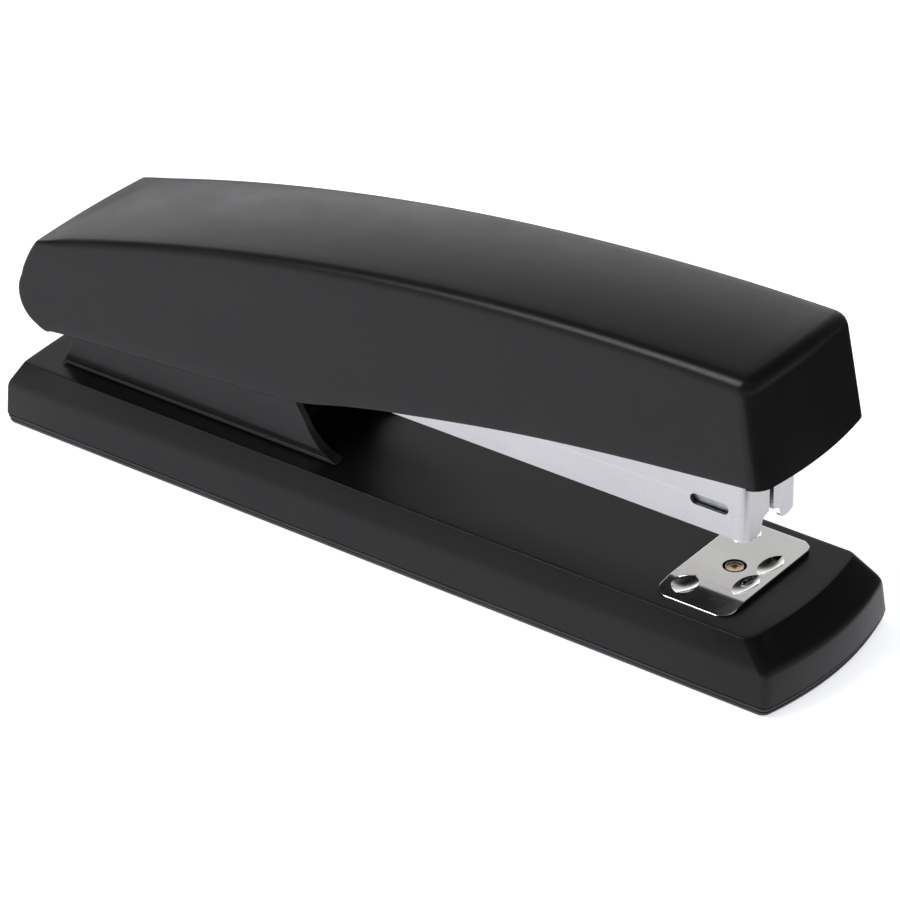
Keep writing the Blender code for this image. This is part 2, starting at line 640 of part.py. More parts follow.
# ---- handle -----------------------------------------------------------------------------------
def build_handle_spring(material):
    """Leaf that lifts the handle: an eye round the hinge pin and a blade lying over the magazine."""
    line = arc(PIVOT_X, PIVOT_Z, PIN_RADIUS + GAP + 0.5, 300, 95, 14)
    line += [(-79.5, 35.4), (-68.0, 39.6), (-60.0, 40.4), (-53.0, 39.6), (-49.0, 39.1), (-46.0, 39.2)]
    spring = strap("handle_spring", line, 0.5, 5.8, material)
    set_origin(spring, PIVOT_X, 0, PIVOT_Z)


def frame_profile():
    """The handle frame from the side."""
    points = arc(PIVOT_X, PIVOT_Z, 5.2, 120, 290, 12)
    points += [(-70.0, 29.8), (0.0, 38.5), (74.0, 50.0), (79.5, 56.0)]
    return points + FRAME_ROOF


def build_handle_frame(material):
    """Steel lever inside the cover: an upturned channel with ears on the hinge pin."""
    frame = prism("handle_frame", frame_profile(), "Y", -FRAME_OUTER, FRAME_OUTER, material)
    under_roof = [(x, z - FRAME_SHEET) for x, z in FRAME_ROOF]
    inside = [(-100.0, 10.0), (100.0, 10.0), (100.0, under_roof[0][1])] + under_roof
    inside.append((-100.0, under_roof[-1][1]))
    combine(frame, prism("frame_inside", inside, "Y", -FRAME_INNER, FRAME_INNER), "DIFFERENCE")
    combine(frame, pin_hole("frame", 14), "DIFFERENCE")
    set_origin(frame, PIVOT_X, 0, PIVOT_Z)


def build_driver(blade_material, rivet_material):
    """Driver blade with a top flange, and the rivets that hold it under the frame."""
    top = DRIVER_TOP_Z
    under = top - 0.6
    front_x = BLADE_X + BLADE_THICK
    side = [(DRIVER_FLANGE_BACK_X, under), (BLADE_X, under), (BLADE_X, BLADE_TIP_Z), (front_x, BLADE_TIP_Z),
            (front_x, top), (DRIVER_FLANGE_BACK_X, top)]
    blade = prism("driver_blade", side, "Y", -BLADE_HALF, BLADE_HALF, blade_material)
    set_origin(blade, PIVOT_X, 0, PIVOT_Z)
    for number, y in ((1, -3.0), (2, 3.0)):
        profile = [(0, 0.6), (0.3, 1.1), (0.6, 1.3)]
        place = (DRIVER_FLANGE_BACK_X + 5.0, y, under - GAP - 0.6)
        rivet = turned(f"driver_rivet_{number}", "Z", place, profile, 12, rivet_material)
        set_origin(rivet, PIVOT_X, 0, PIVOT_Z)


def cover_top(x):
    """Height of the cover's upper edge at x."""
    share = (COVER_NOSE_TOP_X - x) / (COVER_NOSE_TOP_X - COVER_BACK_X)
    return COVER_TOP_Z - (COVER_TOP_Z - COVER_BACK_Z) * max(share, 0.0) ** COVER_TOP_POWER


def cover_profile():
    """The cover from the side as (x, z, crown share, bulge share), anticlockwise from its lower rear."""
    tail = [(x, z, 0.0, 0.0) for x, z in arc(PIVOT_X, PIVOT_Z, COVER_TAIL_RADIUS, 274, 152, 10)]
    back = [(-90.2, 36.7, 0.0, 0.0), (-88.4, 40.4, 0.3, 0.0)]
    top = []
    steps = 14
    for i in range(steps + 1):
        share = i / steps
        x = COVER_BACK_X + (COVER_NOSE_TOP_X - COVER_BACK_X) * share
        top.append((x, cover_top(x), 1.0, max(0.0, share - 0.9) * 10))
    nose = []
    for share in (0.33, 0.67, 1.0):
        x = COVER_NOSE_TOP_X + (COVER_NOSE_LOW_X - COVER_NOSE_TOP_X) * share
        z = COVER_TOP_Z + (COVER_NOSE_LOW_Z - COVER_TOP_Z) * share
        nose.append((x, z, 1.0 - share, 1.0))
    low = [(74.6, 44.7), (52.3, 42.2), (30.0, 39.0), (6.2, 34.5), (-6.5, 31.7), (-13.5, 29.9), (-19.0, 28.4),
           (-24.0, 27.7)]
    lower = [(x, z, 0.0, 0.0) for x, z in low]
    return tail + back + top + nose + lower


def cover_half_width(x, z):
    """Half-width of the cover at a point of its side, with the draft of the mould."""
    low_z = 24.0 + max(x + 24.0, 0.0) * 0.2
    return COVER_HALF - COVER_DRAFT * max(z - low_z, 0.0)


def cover_ring(share, inset):
    """The side profile at one share of the half-width, drawn in by inset towards its middle."""
    ring = []
    for x, z, crown, bulge in cover_profile():
        width = cover_half_width(x, z)
        hump = 1.0 - share * share
        shift_x = COVER_NOSE_BULGE * hump * bulge
        shift_z = COVER_CROWN * hump * crown
        if bulge > 0.99:
            shift_x -= 0.8 * inset
        if crown > 0.0:
            shift_z -= inset
        ring.append((x + shift_x, share * width, z + shift_z))
    return ring


def build_handle_cover(material):
    """Moulded handle cover: crowned top, rounded edges, hollow from below, slotted at the back."""
    right = [(0.5, 0.0), (0.86, 0.0), (0.97, 0.8), (1.0, COVER_EDGE_RADIUS)]
    shares = [(-share, inset) for share, inset in right[::-1]] + [(0.0, 0.0)] + right
    cover = lofted("handle_cover", [cover_ring(share, inset) for share, inset in shares], material)
    inside_top = []
    steps = 12
    back_x = COVER_BACK_X + 1.4
    front_x = COVER_NOSE_TOP_X - COVER_WALL
    for i in range(steps + 1):
        x = back_x + (front_x - back_x) * i / steps
        inside_top.append((x, cover_top(x) - COVER_EDGE_RADIUS - 0.6))
    inner_tail = arc(PIVOT_X, PIVOT_Z, COVER_TAIL_RADIUS - COVER_WALL, 262, 150, 8)
    inside = [(-70.0, 10.0), (-87.0, 10.0)] + inner_tail + [(-87.4, 39.6)] + inside_top
    inside += [(86.2, 45.0), (86.2, 10.0)]
    inner_half = COVER_HALF - COVER_WALL - 1.3       # the drafted sides lean in by 1.3 at the top
    hollow = prism("cover_inside", inside, "Y", -inner_half, inner_half)
    combine(cover, hollow, "DIFFERENCE")
    for index, side in enumerate((-1, 1)):
        low_y, high_y = sorted((side * TAIL_HALF, side * TAIL_SLOT_OUTER))
        slot = block(f"tail_slot_{index}", -100, -78.0, low_y, high_y, 10, 42.4)
        combine(cover, slot, "DIFFERENCE")
    low_x, low_z = arc(PIVOT_X, PIVOT_Z, 25.0, TAIL_END_ANGLE, TAIL_END_ANGLE, 1)[0]
    wedge = [(PIVOT_X, PIVOT_Z), (low_x, low_z), (-60.0, low_z), (-60.0, PIVOT_Z)]
    trim = prism("tail_trim", wedge, "Y", -TAIL_SLOT_OUTER, TAIL_SLOT_OUTER)
    combine(cover, trim, "DIFFERENCE")
    set_origin(cover, PIVOT_X, 0, PIVOT_Z)


# ---- assembly ---------------------------------------------------------------------------------
def main():
    """Clears the scene and makes every piece."""
    for obj in list(bpy.data.objects):
        bpy.data.objects.remove(obj, do_unlink=True)
    black = make_material("black_plastic", (0.045, 0.045, 0.05), 0.42)
    bracket_black = make_material("black_enamel", (0.04, 0.04, 0.042), 0.4)
    rubber = make_material("rubber", (0.03, 0.03, 0.03), 0.75)
    nickel = make_material("nickel", (0.68, 0.67, 0.66), 0.28, 1.0)
    chrome = make_material("chrome", (0.82, 0.81, 0.79), 0.1, 1.0)
    brass = make_material("brass", (0.6, 0.47, 0.3), 0.35, 1.0)
    steel = make_material("spring_steel", (0.32, 0.33, 0.35), 0.35, 1.0)
    zinc = make_material("zinc_plate", (0.5, 0.51, 0.52), 0.45, 1.0)
    staple = make_material("staple_wire", (0.6, 0.62, 0.65), 0.3, 1.0)

    build_base_shell(black)
    build_base_plate(zinc)
    build_foot_pad(rubber)
    build_hinge_bracket(bracket_black)
    build_bracket_rivets(nickel)
    build_hinge_pin(nickel)
    build_anvil(chrome, brass, steel)
    build_latch_saddle(zinc)
    build_return_spring(steel)
    build_magazine_channel(nickel)
    build_staple_rail(zinc)
    build_staple_strip(staple)
    build_pusher(nickel)
    build_magazine_inside(nickel, steel)
    build_handle_spring(steel)
    build_handle_frame(zinc)
    build_driver(steel, nickel)
    build_handle_cover(black)


main()
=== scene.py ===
"""Looks of the desk stapler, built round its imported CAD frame.

The frame is in metres with +Z up. Sizes in this script are in millimetres and are scaled as a mesh is made,
except for lights, the camera and the distances inside materials, which are in metres.
+X runs from the hinge to the nose and the side nearest the camera is -Y.
"""
import json
import math

import bmesh
import bpy
from mathutils import Matrix, Vector


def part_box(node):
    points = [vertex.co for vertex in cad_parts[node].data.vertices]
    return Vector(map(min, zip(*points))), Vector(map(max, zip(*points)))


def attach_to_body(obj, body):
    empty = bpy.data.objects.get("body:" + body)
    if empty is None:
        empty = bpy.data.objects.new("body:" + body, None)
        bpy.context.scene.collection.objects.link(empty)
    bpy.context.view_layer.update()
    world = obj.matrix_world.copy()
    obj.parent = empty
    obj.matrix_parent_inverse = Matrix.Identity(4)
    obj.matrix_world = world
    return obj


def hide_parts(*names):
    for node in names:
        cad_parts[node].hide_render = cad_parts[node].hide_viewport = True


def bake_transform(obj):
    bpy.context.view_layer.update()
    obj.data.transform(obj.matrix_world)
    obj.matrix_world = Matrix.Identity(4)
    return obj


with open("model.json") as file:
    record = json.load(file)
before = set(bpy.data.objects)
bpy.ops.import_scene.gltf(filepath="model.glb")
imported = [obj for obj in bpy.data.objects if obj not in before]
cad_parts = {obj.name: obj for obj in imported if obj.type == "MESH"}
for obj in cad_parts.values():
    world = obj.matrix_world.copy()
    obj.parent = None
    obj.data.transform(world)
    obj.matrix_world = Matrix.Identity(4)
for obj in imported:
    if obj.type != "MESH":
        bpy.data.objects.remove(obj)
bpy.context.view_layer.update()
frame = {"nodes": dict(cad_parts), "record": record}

MM = 0.001

# ---- sizes shared between pieces, in millimetres ----------------------------------------------
GAP = 0.3                    # between neighbouring pieces
BASE_TOP = 14.07
BASE_WALL = 2.0
PAD_TOP = 2.0
PIVOT = (-84.5, 30.6)        # the hinge pin's axis, in x and z
PIN_HOLE = 2.3
ANVIL_X = 70.9               # the middle of the anvil and of the window over it
BRACKET_OUTER = 12.5
BRACKET_WALL = 1.6
BRACKET_FLOOR_FRONT_X = -29.5
RIVET_HOLE = 1.5
RIVET_PLACES = [(x, y) for x in (-77.5, -33.0) for y in (-7.0, 7.0)]
TRACK_Z = 29.8               # the staples stand here
STRIP_TOP = 36.2
STAPLE_HALF = 6.3
STRIP_FRONT_X = 76.2
STRIP_BACK_X = 26.2

RECORD = frame["record"]
BODY_OF = {node: body for body, nodes in RECORD["behaviour"]["bodies"].items() for node in nodes}
SLOT_OF = {part["node"]: part["material_slot"] for part in RECORD["subparts"]}


# ---- materials --------------------------------------------------------------------------------
class Nodes:
    """A material's node tree with short calls to build it."""

    def __init__(self, name):
        self.material = bpy.data.materials.new(name)
        self.material.use_nodes = True
        self.tree = self.material.node_tree
        self.shader = self.tree.nodes["Principled BSDF"]
        self.coordinates = self.tree.nodes.new("ShaderNodeTexCoord")

    def new(self, kind, **values):
        node = self.tree.nodes.new(kind)
        for key, value in values.items():
            setattr(node, key, value)
        return node

    def link(self, source, target):
        self.tree.links.new(source, target)

    def noise(self, scale, detail=4.0, stretch=(1.0, 1.0, 1.0)):
        """Noise in the piece's own space; scale is in features per metre."""
        mapping = self.new("ShaderNodeMapping")
        mapping.inputs["Scale"].default_value = [scale * s for s in stretch]
        self.link(self.coordinates.outputs["Object"], mapping.inputs["Vector"])
        noise = self.new("ShaderNodeTexNoise")
        noise.inputs["Scale"].default_value = 1.0
        noise.inputs["Detail"].default_value = detail
        noise.inputs["Roughness"].default_value = 0.6
        self.link(mapping.outputs["Vector"], noise.inputs["Vector"])
        return noise.outputs["Fac"]

    def remap(self, value, low, high, to_low, to_high):
        node = self.new("ShaderNodeMapRange")
        for key, number in (("From Min", low), ("From Max", high), ("To Min", to_low), ("To Max", to_high)):
            node.inputs[key].default_value = number
        self.link(value, node.inputs["Value"])
        return node.outputs["Result"]

    def mix_color(self, factor, color_a, color_b):
        node = self.new("ShaderNodeMix", data_type="RGBA")
        for socket, color in ((node.inputs[6], color_a), (node.inputs[7], color_b)):
            if isinstance(color, tuple):
                socket.default_value = (*color, 1.0)
            else:
                self.link(color, socket)
        self.link(factor, node.inputs[0])
        return node.outputs[2]

    def bump(self, height, distance, strength=1.0, after=None):
        node = self.new("ShaderNodeBump")
        node.inputs["Strength"].default_value = strength
        node.inputs["Distance"].default_value = distance
        self.link(height, node.inputs["Height"])
        if after is not None:
            self.link(after, node.inputs["Normal"])
        return node.outputs["Normal"]

    def painted_gap_shade(self, reach):
        """Painted shade in gaps: zero deep in gaps between sheets, one in the open; reach is in metres."""
        node = self.new("ShaderNodeAmbientOcclusion", samples=6)
        node.inputs["Distance"].default_value = reach
        return self.remap(node.outputs["AO"], 0.22, 0.7, 0.0, 1.0)

    def edge_highlight(self, reach=0.06):
        """One on convex edges and corners, zero on flats: the mask of a painted edge highlight."""
        geometry = self.new("ShaderNodeNewGeometry")
        return self.remap(geometry.outputs["Pointiness"], 0.52, 0.52 + reach, 0.0, 1.0)


def moulded(name, color, lighter, roughness, grain, grain_height, specular):
    """Satin moulded plastic or enamel: fine texture, cloudy gloss and edges lightened as a painted highlight.
    """
    n = Nodes(name)
    cloud = n.noise(45.0, 3.0)
    fine = n.noise(grain, 2.0)
    tone = n.mix_color(n.remap(cloud, 0.35, 0.65, 0.0, 1.0), color, lighter)
    speck = n.remap(n.noise(900.0, 1.0), 0.66, 0.76, 0.0, 0.35)
    tone = n.mix_color(speck, tone, tuple(min(1.0, c * 1.8) for c in lighter))
    # painted highlight: lighter colour along convex edges and corners
    edge_light = n.remap(n.edge_highlight(), 0.0, 1.0, 0.0, 0.3)
    tone = n.mix_color(edge_light, tone, tuple(min(1.0, c * 2.0) for c in lighter))
    n.link(tone, n.shader.inputs["Base Color"])
    smudge = n.noise(120.0, 5.0)
    n.link(n.remap(smudge, 0.3, 0.7, roughness - 0.035, roughness + 0.035), n.shader.inputs["Roughness"])
    n.link(n.bump(fine, grain_height), n.shader.inputs["Normal"])
    n.shader.inputs["Specular IOR Level"].default_value = specular
    return n.material


def plated(name, color, darker, roughness, brush_height, brush=(1.0, 1.0, 1.0), cloud=60.0, smudged=0.25,
           gap_shade_reach=0.0):
    """Plated or drawn metal: faint lines along the sheet, smudged gloss, edges lightened as a painted
    highlight and gaps darkened as painted shade.
    """
    n = Nodes(name)
    patches = n.noise(cloud, 4.0)
    tone = n.mix_color(n.remap(patches, 0.35, 0.7, 0.0, 1.0), darker, color)
    # painted highlight: brighter colour along convex edges and corners
    edge_light = n.remap(n.edge_highlight(), 0.0, 1.0, 0.0, 0.4)
    tone = n.mix_color(edge_light, tone, tuple(min(1.0, c * 1.12) for c in color))
    # painted shade: the colour goes nearly black deep in gaps and slots, where light does not reach
    if gap_shade_reach:
        tone = n.mix_color(n.painted_gap_shade(gap_shade_reach), tuple(0.06 * c for c in darker), tone)
    n.link(tone, n.shader.inputs["Base Color"])
    n.shader.inputs["Metallic"].default_value = 1.0
    smudge = n.noise(150.0, 5.0)
    gloss = n.remap(smudge, 0.3, 0.7, roughness * (1 - smudged), roughness * (1 + smudged))
    n.link(gloss, n.shader.inputs["Roughness"])
    lines = n.noise(2200.0, 2.0, brush)
    n.link(n.bump(lines, brush_height), n.shader.inputs["Normal"])
    return n.material


ALONG = (0.03, 1.0, 1.0)       # drawing lines that run along the stapler
UPRIGHT = (1.0, 1.0, 0.05)     # and lines that run up a staple's legs


def black_plastic():
    """Satin moulding of the handle cover and the base."""
    return moulded("black_plastic_look", (0.0055, 0.0055, 0.006), (0.0072, 0.0072, 0.0075),
                   roughness=0.31, grain=3600.0, grain_height=0.000012, specular=0.245)


def black_enamel():
    """Painted sheet of the hinge bracket."""
    return moulded("black_enamel_look", (0.0075, 0.0075, 0.0085), (0.0095, 0.0095, 0.010),
                   roughness=0.30, grain=2400.0, grain_height=0.00001, specular=0.29)


def rubber():
    """Matt foot pad."""
    return moulded("rubber_look", (0.016, 0.016, 0.016), (0.03, 0.03, 0.03),
                   roughness=0.62, grain=1800.0, grain_height=0.00003, specular=0.4)


def nickel():
    """Satin plating of the magazine, the pusher, the pin and the rivets, with painted shade darkening its
    gaps.
    """
    return plated("nickel_look", (0.51, 0.50, 0.515), (0.48, 0.47, 0.486),
                  roughness=0.26, brush_height=0.0000015, brush=ALONG, smudged=0.12, gap_shade_reach=0.0045)


def chrome():
    """Bright plating of the anvil and its button."""
    return plated("chrome_look", (0.90, 0.88, 0.85), (0.86, 0.84, 0.81),
                  roughness=0.045, brush_height=0.0000004, smudged=0.12)


def brass():
    """Dull rivet in the anvil."""
    return plated("brass_look", (0.62, 0.50, 0.34), (0.48, 0.37, 0.24),
                  roughness=0.32, brush_height=0.000006, cloud=400.0)


def spring_steel():
    """Grey steel of the springs and the driver blade."""
    return plated("spring_steel_look", (0.36, 0.37, 0.39), (0.25, 0.255, 0.27),
                  roughness=0.30, brush_height=0.000005, brush=ALONG)


def zinc_plate():
    """Dull plating of the inner sheet parts."""
    return plated("zinc_plate_look", (0.36, 0.385, 0.41), (0.27, 0.29, 0.32),
                  roughness=0.36, brush_height=0.000008, cloud=220.0)


def staple_wire():
    """Pale galvanised wire."""
    return plated("staple_wire_look", (0.60, 0.64, 0.68), (0.50, 0.54, 0.58),
                  roughness=0.28, brush_height=0.000005, brush=UPRIGHT, cloud=300.0)


MATERIALS = {
    "black_plastic": black_plastic(), "black_enamel": black_enamel(), "rubber": rubber(), "nickel": nickel(),
    "chrome": chrome(), "brass": brass(), "spring_steel": spring_steel(), "zinc_plate": zinc_plate(),
    "staple_wire": staple_wire(),
}


# ---- outlines ---------------------------------------------------------------------------------
def lerp(a, b, share):
    """Point or number between a and b."""
    if isinstance(a, (int, float)):
        return a + (b - a) * share
    return tuple(p + (q - p) * share for p, q in zip(a, b))


def arc(cx, cy, radius, start, end, steps):
    """Points on a circle from start to end, in degrees, both ends included."""
    points = []
    for i in range(steps + 1):
        angle = math.radians(start + (end - start) * i / steps)
        points.append((cx + radius * math.cos(angle), cy + radius * math.sin(angle)))
    return points


def rounded(points, radii, steps=6):
    """A closed outline with each corner replaced by an arc of its radius."""
    result = []
    count = len(points)
    for i, corner in enumerate(points):
        radius = radii[i] if isinstance(radii, (list, tuple)) else radii
        if radius <= 0:
            result.append(corner)
            continue
        result += corner_arc(points[i - 1], corner, points[(i + 1) % count], radius, steps)
    return result


def corner_arc(before, corner, after, radius, steps):
    """Arc that touches both sides of a corner."""
    b = Vector(corner)
    u = (Vector(before) - b).normalized()
    v = (Vector(after) - b).normalized()
    half = math.acos(max(-1.0, min(1.0, u.dot(v)))) / 2
    if half > math.radians(89.0):
        return [tuple(corner)]
    centre = b + (u + v).normalized() * (radius / math.sin(half))
    start = b + u * (radius / math.tan(half)) - centre
    turn = math.pi - 2 * half
    if u.x * v.y - u.y * v.x > 0:
        turn = -turn
    points = []
    for i in range(steps + 1):
        angle = turn * i / steps
        points.append((centre.x + start.x * math.cos(angle) - start.y * math.sin(angle),
                       centre.y + start.x * math.sin(angle) + start.y * math.cos(angle)))
    return points


def smooth_line(points, steps):
    """Catmull-Rom curve through points."""
    def between(a, b, c, d, t):
        square = (2 * a - 5 * b + 4 * c - d) * t * t
        cube = (3 * b - a - 3 * c + d) * t ** 3
        return 0.5 * (2 * b + (c - a) * t + square + cube)
    line = []
    last = len(points) - 1
    for i in range(last):
        corners = list(zip(points[max(i - 1, 0)], points[i], points[i + 1], points[min(i + 2, last)]))
        for k in range(steps):
            line.append(tuple(between(*four, k / steps) for four in corners))
    line.append(tuple(points[-1]))
    return line


def height_at(line, x):
    """Second value of a line of (x, z) points at x."""
    for (x0, z0), (x1, z1) in zip(line, line[1:]):
        if x <= x1:
            return z0 + (z1 - z0) * max(0.0, (x - x0) / (x1 - x0))
    return line[-1][1]


# ---- meshes -----------------------------------------------------------------------------------
def make_object(name, verts, faces, material, smooth=30.0):
    """A mesh object in metres from millimetres, with shading split at edges sharper than smooth degrees."""
    mesh = bpy.data.meshes.new(name)
    mesh.from_pydata([tuple(c * MM for c in v) for v in verts], [], faces)
    bm = bmesh.new()
    bm.from_mesh(mesh)
    bmesh.ops.remove_doubles(bm, verts=bm.verts, dist=1e-7)
    bmesh.ops.recalc_face_normals(bm, faces=bm.faces)
    bm.to_mesh(mesh)
    bm.free()
    obj = bpy.data.objects.new(name, mesh)
    bpy.context.scene.collection.objects.link(obj)
    if material:
        mesh.materials.append(material)
        shade(obj, smooth)
    return obj


def shade(obj, smooth):
    """Smooth shading, split at edges sharper than smooth degrees."""
    obj.data.shade_smooth()
    obj.data.set_sharp_from_angle(angle=math.radians(smooth))


def loft(name, rings, material=None, smooth=30.0, closed=False):
    """A solid through rings of equal count, capped unless closed into a loop."""
    count = len(rings[0])
    verts = [p for ring in rings for p in ring]
    faces = []
    spans = len(rings) if closed else len(rings) - 1
    for r in range(spans):
        a = r * count
        b = (r + 1) % len(rings) * count
        for i in range(count):
            j = (i + 1) % count
            faces.append((a + i, a + j, b + j, b + i))
    if not closed:
        faces.append(tuple(range(count)))
        faces.append(tuple((len(rings) - 1) * count + i for i in range(count)))
    return make_object(name, verts, faces, material, smooth)


def prism(name, outline, axis, low, high, material=None, smooth=30.0):
    """An outline extruded along X (outline in y, z), Y (x, z) or Z (x, y)."""
    def place(a, b, height):
        if axis == "X":
            return (height, a, b)
        if axis == "Y":
            return (a, height, b)
        return (a, b, height)
    return loft(name, [[place(a, b, height) for a, b in outline] for height in (low, high)], material, smooth)


def block(name, x0, x1, y0, y1, z0, z1):
    """A rectangular cutter."""
    return prism(name, [(x0, y0), (x1, y0), (x1, y1), (x0, y1)], "Z", z0, z1)


def turned(name, axis, centre, profile, steps=32, material=None):
    """A solid of revolution; profile is (distance along axis, radius)."""
    rings = []
    for along, radius in profile:
        ring = []
        for i in range(steps):
            angle = 2 * math.pi * i / steps
            a = radius * math.cos(angle)
            b = radius * math.sin(angle)
            offset = {"X": (along, a, b), "Y": (a, along, b), "Z": (a, b, along)}[axis]
            ring.append(tuple(c + o for c, o in zip(centre, offset)))
        rings.append(ring)
    return loft(name, rings, material, 35.0)


def pin_hole():
    """A cutter for the hinge pin's running hole."""
    return turned("pin", "Y", (PIVOT[0], 0, PIVOT[1]), [(-16, PIN_HOLE), (16, PIN_HOLE)])


def cut_rivet_holes(obj):
    """Cuts the holes of the bracket's four rivets."""
    for x, y in RIVET_PLACES:
        combine(obj, turned("rivet", "Z", (x, y, 0), [(8, RIVET_HOLE), (20, RIVET_HOLE)], 16), "DIFFERENCE")


def combine(obj, other, operation):
    """Adds, cuts or keeps the overlap of other on obj at once, and removes other."""
    modifier = obj.modifiers.new(operation.lower(), "BOOLEAN")
    modifier.operation = operation
    modifier.solver = "EXACT"
    modifier.object = other
    settle(obj)
    bpy.data.objects.remove(other, do_unlink=True)


def settle(obj):
    """Replaces a mesh by its result after its modifiers."""
    bpy.context.view_layer.update()
    graph = bpy.context.evaluated_depsgraph_get()
    mesh = bpy.data.meshes.new_from_object(obj.evaluated_get(graph))
    obj.modifiers.clear()
    obj.data = mesh


def finish_edges(obj, material, width, angle=35.0, segments=2):
    """Cleans a mesh, rounds its sharp edges a little and gives it its material."""
    bm = bmesh.new()
    bm.from_mesh(obj.data)
    bmesh.ops.remove_doubles(bm, verts=bm.verts, dist=2e-6)
    bmesh.ops.dissolve_limit(bm, angle_limit=math.radians(0.4), verts=bm.verts, edges=bm.edges,
                             delimit={"NORMAL"})
    bmesh.ops.recalc_face_normals(bm, faces=bm.faces)
    bm.to_mesh(obj.data)
    bm.free()
    obj.data.materials.clear()
    obj.data.materials.append(material)
    shade(obj, 30.0)
    bevel = obj.modifiers.new("edges", "BEVEL")
    bevel.width = width * MM
    bevel.segments = segments
    bevel.limit_method = "ANGLE"
    bevel.angle_limit = math.radians(angle)
    bevel.harden_normals = True
    bevel.use_clamp_overlap = True
    settle(obj)
    return obj


def attach(obj, *nodes):
    """Puts a piece in place of CAD nodes, on their body."""
    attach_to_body(obj, BODY_OF[nodes[0]])
    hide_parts(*nodes)
    return obj


def helix(name, axis, centre, start, end, radius, wire, turns, material, dead=1.0):
    """A compression spring with closed end turns."""
    per_turn = 28
    sides = 8
    total = int(turns * per_turn)
    line = []
    for i in range(total + 1):
        turn = i / per_turn
        lead = min(turn, dead) * wire * 2.1
        lead += min(max(turn - (turns - dead), 0.0), dead) * wire * 2.1
        body = max(0.0, min(turn, turns - dead) - dead) / (turns - 2 * dead)
        along = start + lead + (end - start - 4.2 * wire * dead) * body
        angle = 2 * math.pi * turn
        line.append(Vector((along, radius * math.cos(angle), radius * math.sin(angle))))
    rings = []
    for i, middle in enumerate(line):
        tangent = (line[min(i + 1, total)] - line[max(i - 1, 0)]).normalized()
        outward = Vector((0.0, middle.y, middle.z)).normalized()
        side = tangent.cross(outward).normalized()
        outward = side.cross(tangent)
        ring = []
        for k in range(sides):
            turn = 2 * math.pi * k / sides
            p = middle + wire * (math.cos(turn) * outward + math.sin(turn) * side)
            if axis == "Z":
                p = Vector((p.y, p.z, p.x))
            ring.append(tuple(Vector(centre) + p))
        rings.append(ring)
    return loft(name, rings, material, 60.0)


# ---- base -------------------------------------------------------------------------------------
CREASE_X = -79.6             # the width steps a little here, near the hinge
REAR_CORNER = 0.5
FRONT_CORNER = 1.8


def base_loop(z, half_width, front_middle, front_corner, rear_middle, rear_corner, widen):
    """Plan of the base at one height: round corners, bowed ends, and a rear part that is wider by widen."""
    def bowed(middle, edge, share):
        return middle + (edge - middle) * share * share
    rear_half = half_width + widen
    outline = []
    radii = []
    side = [(CREASE_X - 0.3, rear_half), (CREASE_X + 0.15, half_width)]
    side += [(lerp(CREASE_X, front_corner, (i + 1) / 8), half_width) for i in range(7)]
    for x, y in side:
        outline.append((x, -y))
        radii.append(0)
    shares = [i / 8 for i in range(-8, 9)]
    for share in shares:
        outline.append((bowed(front_middle, front_corner, share), half_width * share))
        radii.append(FRONT_CORNER if abs(share) == 1 else 0)
    for x, y in side[::-1]:
        outline.append((x, y))
        radii.append(0)
    for share in shares[::-1]:
        outline.append((bowed(rear_middle, rear_corner, share), rear_half * share))
        radii.append(REAR_CORNER if abs(share) == 1 else 0)
    return [(x, y, z) for x, y in rounded(outline, radii, 5)]


def base_levels(levels, radii, steps=4):
    """Rings through key levels, each inner level rounded over its shares of the way to its neighbours."""
    rings = [levels[0]]
    for before, level, after, reach in zip(levels, levels[1:], levels[2:], radii):
        low = lerp(level, before, reach[0])
        high = lerp(level, after, reach[1])
        for i in range(steps + 1):
            t = i / steps
            rings.append(lerp(lerp(low, level, t), lerp(level, high, t), t))
    rings.append(levels[-1])
    return [base_loop(*ring) for ring in rings]


def build_base():
    """Moulded base: short wall, soft shoulder, flat top, hollow below; a level holds one base_loop."""
    levels = [
        (PAD_TOP + GAP, 19.6, 93.3, 90.4, -93.3, -92.3, 0.0),
        (PAD_TOP + GAP, 21.31, 94.98, 92.1, -94.98, -94.0, 0.0),
        (9.23, 20.75, 94.5, 91.3, -94.8, -93.8, 0.0),
        (BASE_TOP, 18.57, 88.3, 86.2, -91.7, -90.95, -0.2),
        (BASE_TOP, 17.6, 87.3, 85.2, -90.7, -89.95, -0.2),
    ]
    rings = base_levels(levels, [(0.06, 0.03), (0.13, 0.18), (0.03, 0.16)])
    shell = loft("base_skin", rings, MATERIALS["black_plastic"], 40.0)
    combine(shell, block("cavity", -86.0, 83.0, -17.17, 17.17, 0.0, BASE_TOP - BASE_WALL), "DIFFERENCE")
    combine(shell, turned("post", "Z", (ANVIL_X, 0, 0), [(8, 2.2), (20, 2.2)]), "DIFFERENCE")
    cut_rivet_holes(shell)
    shade(shell, 18.0)
    attach(shell, "base_shell")


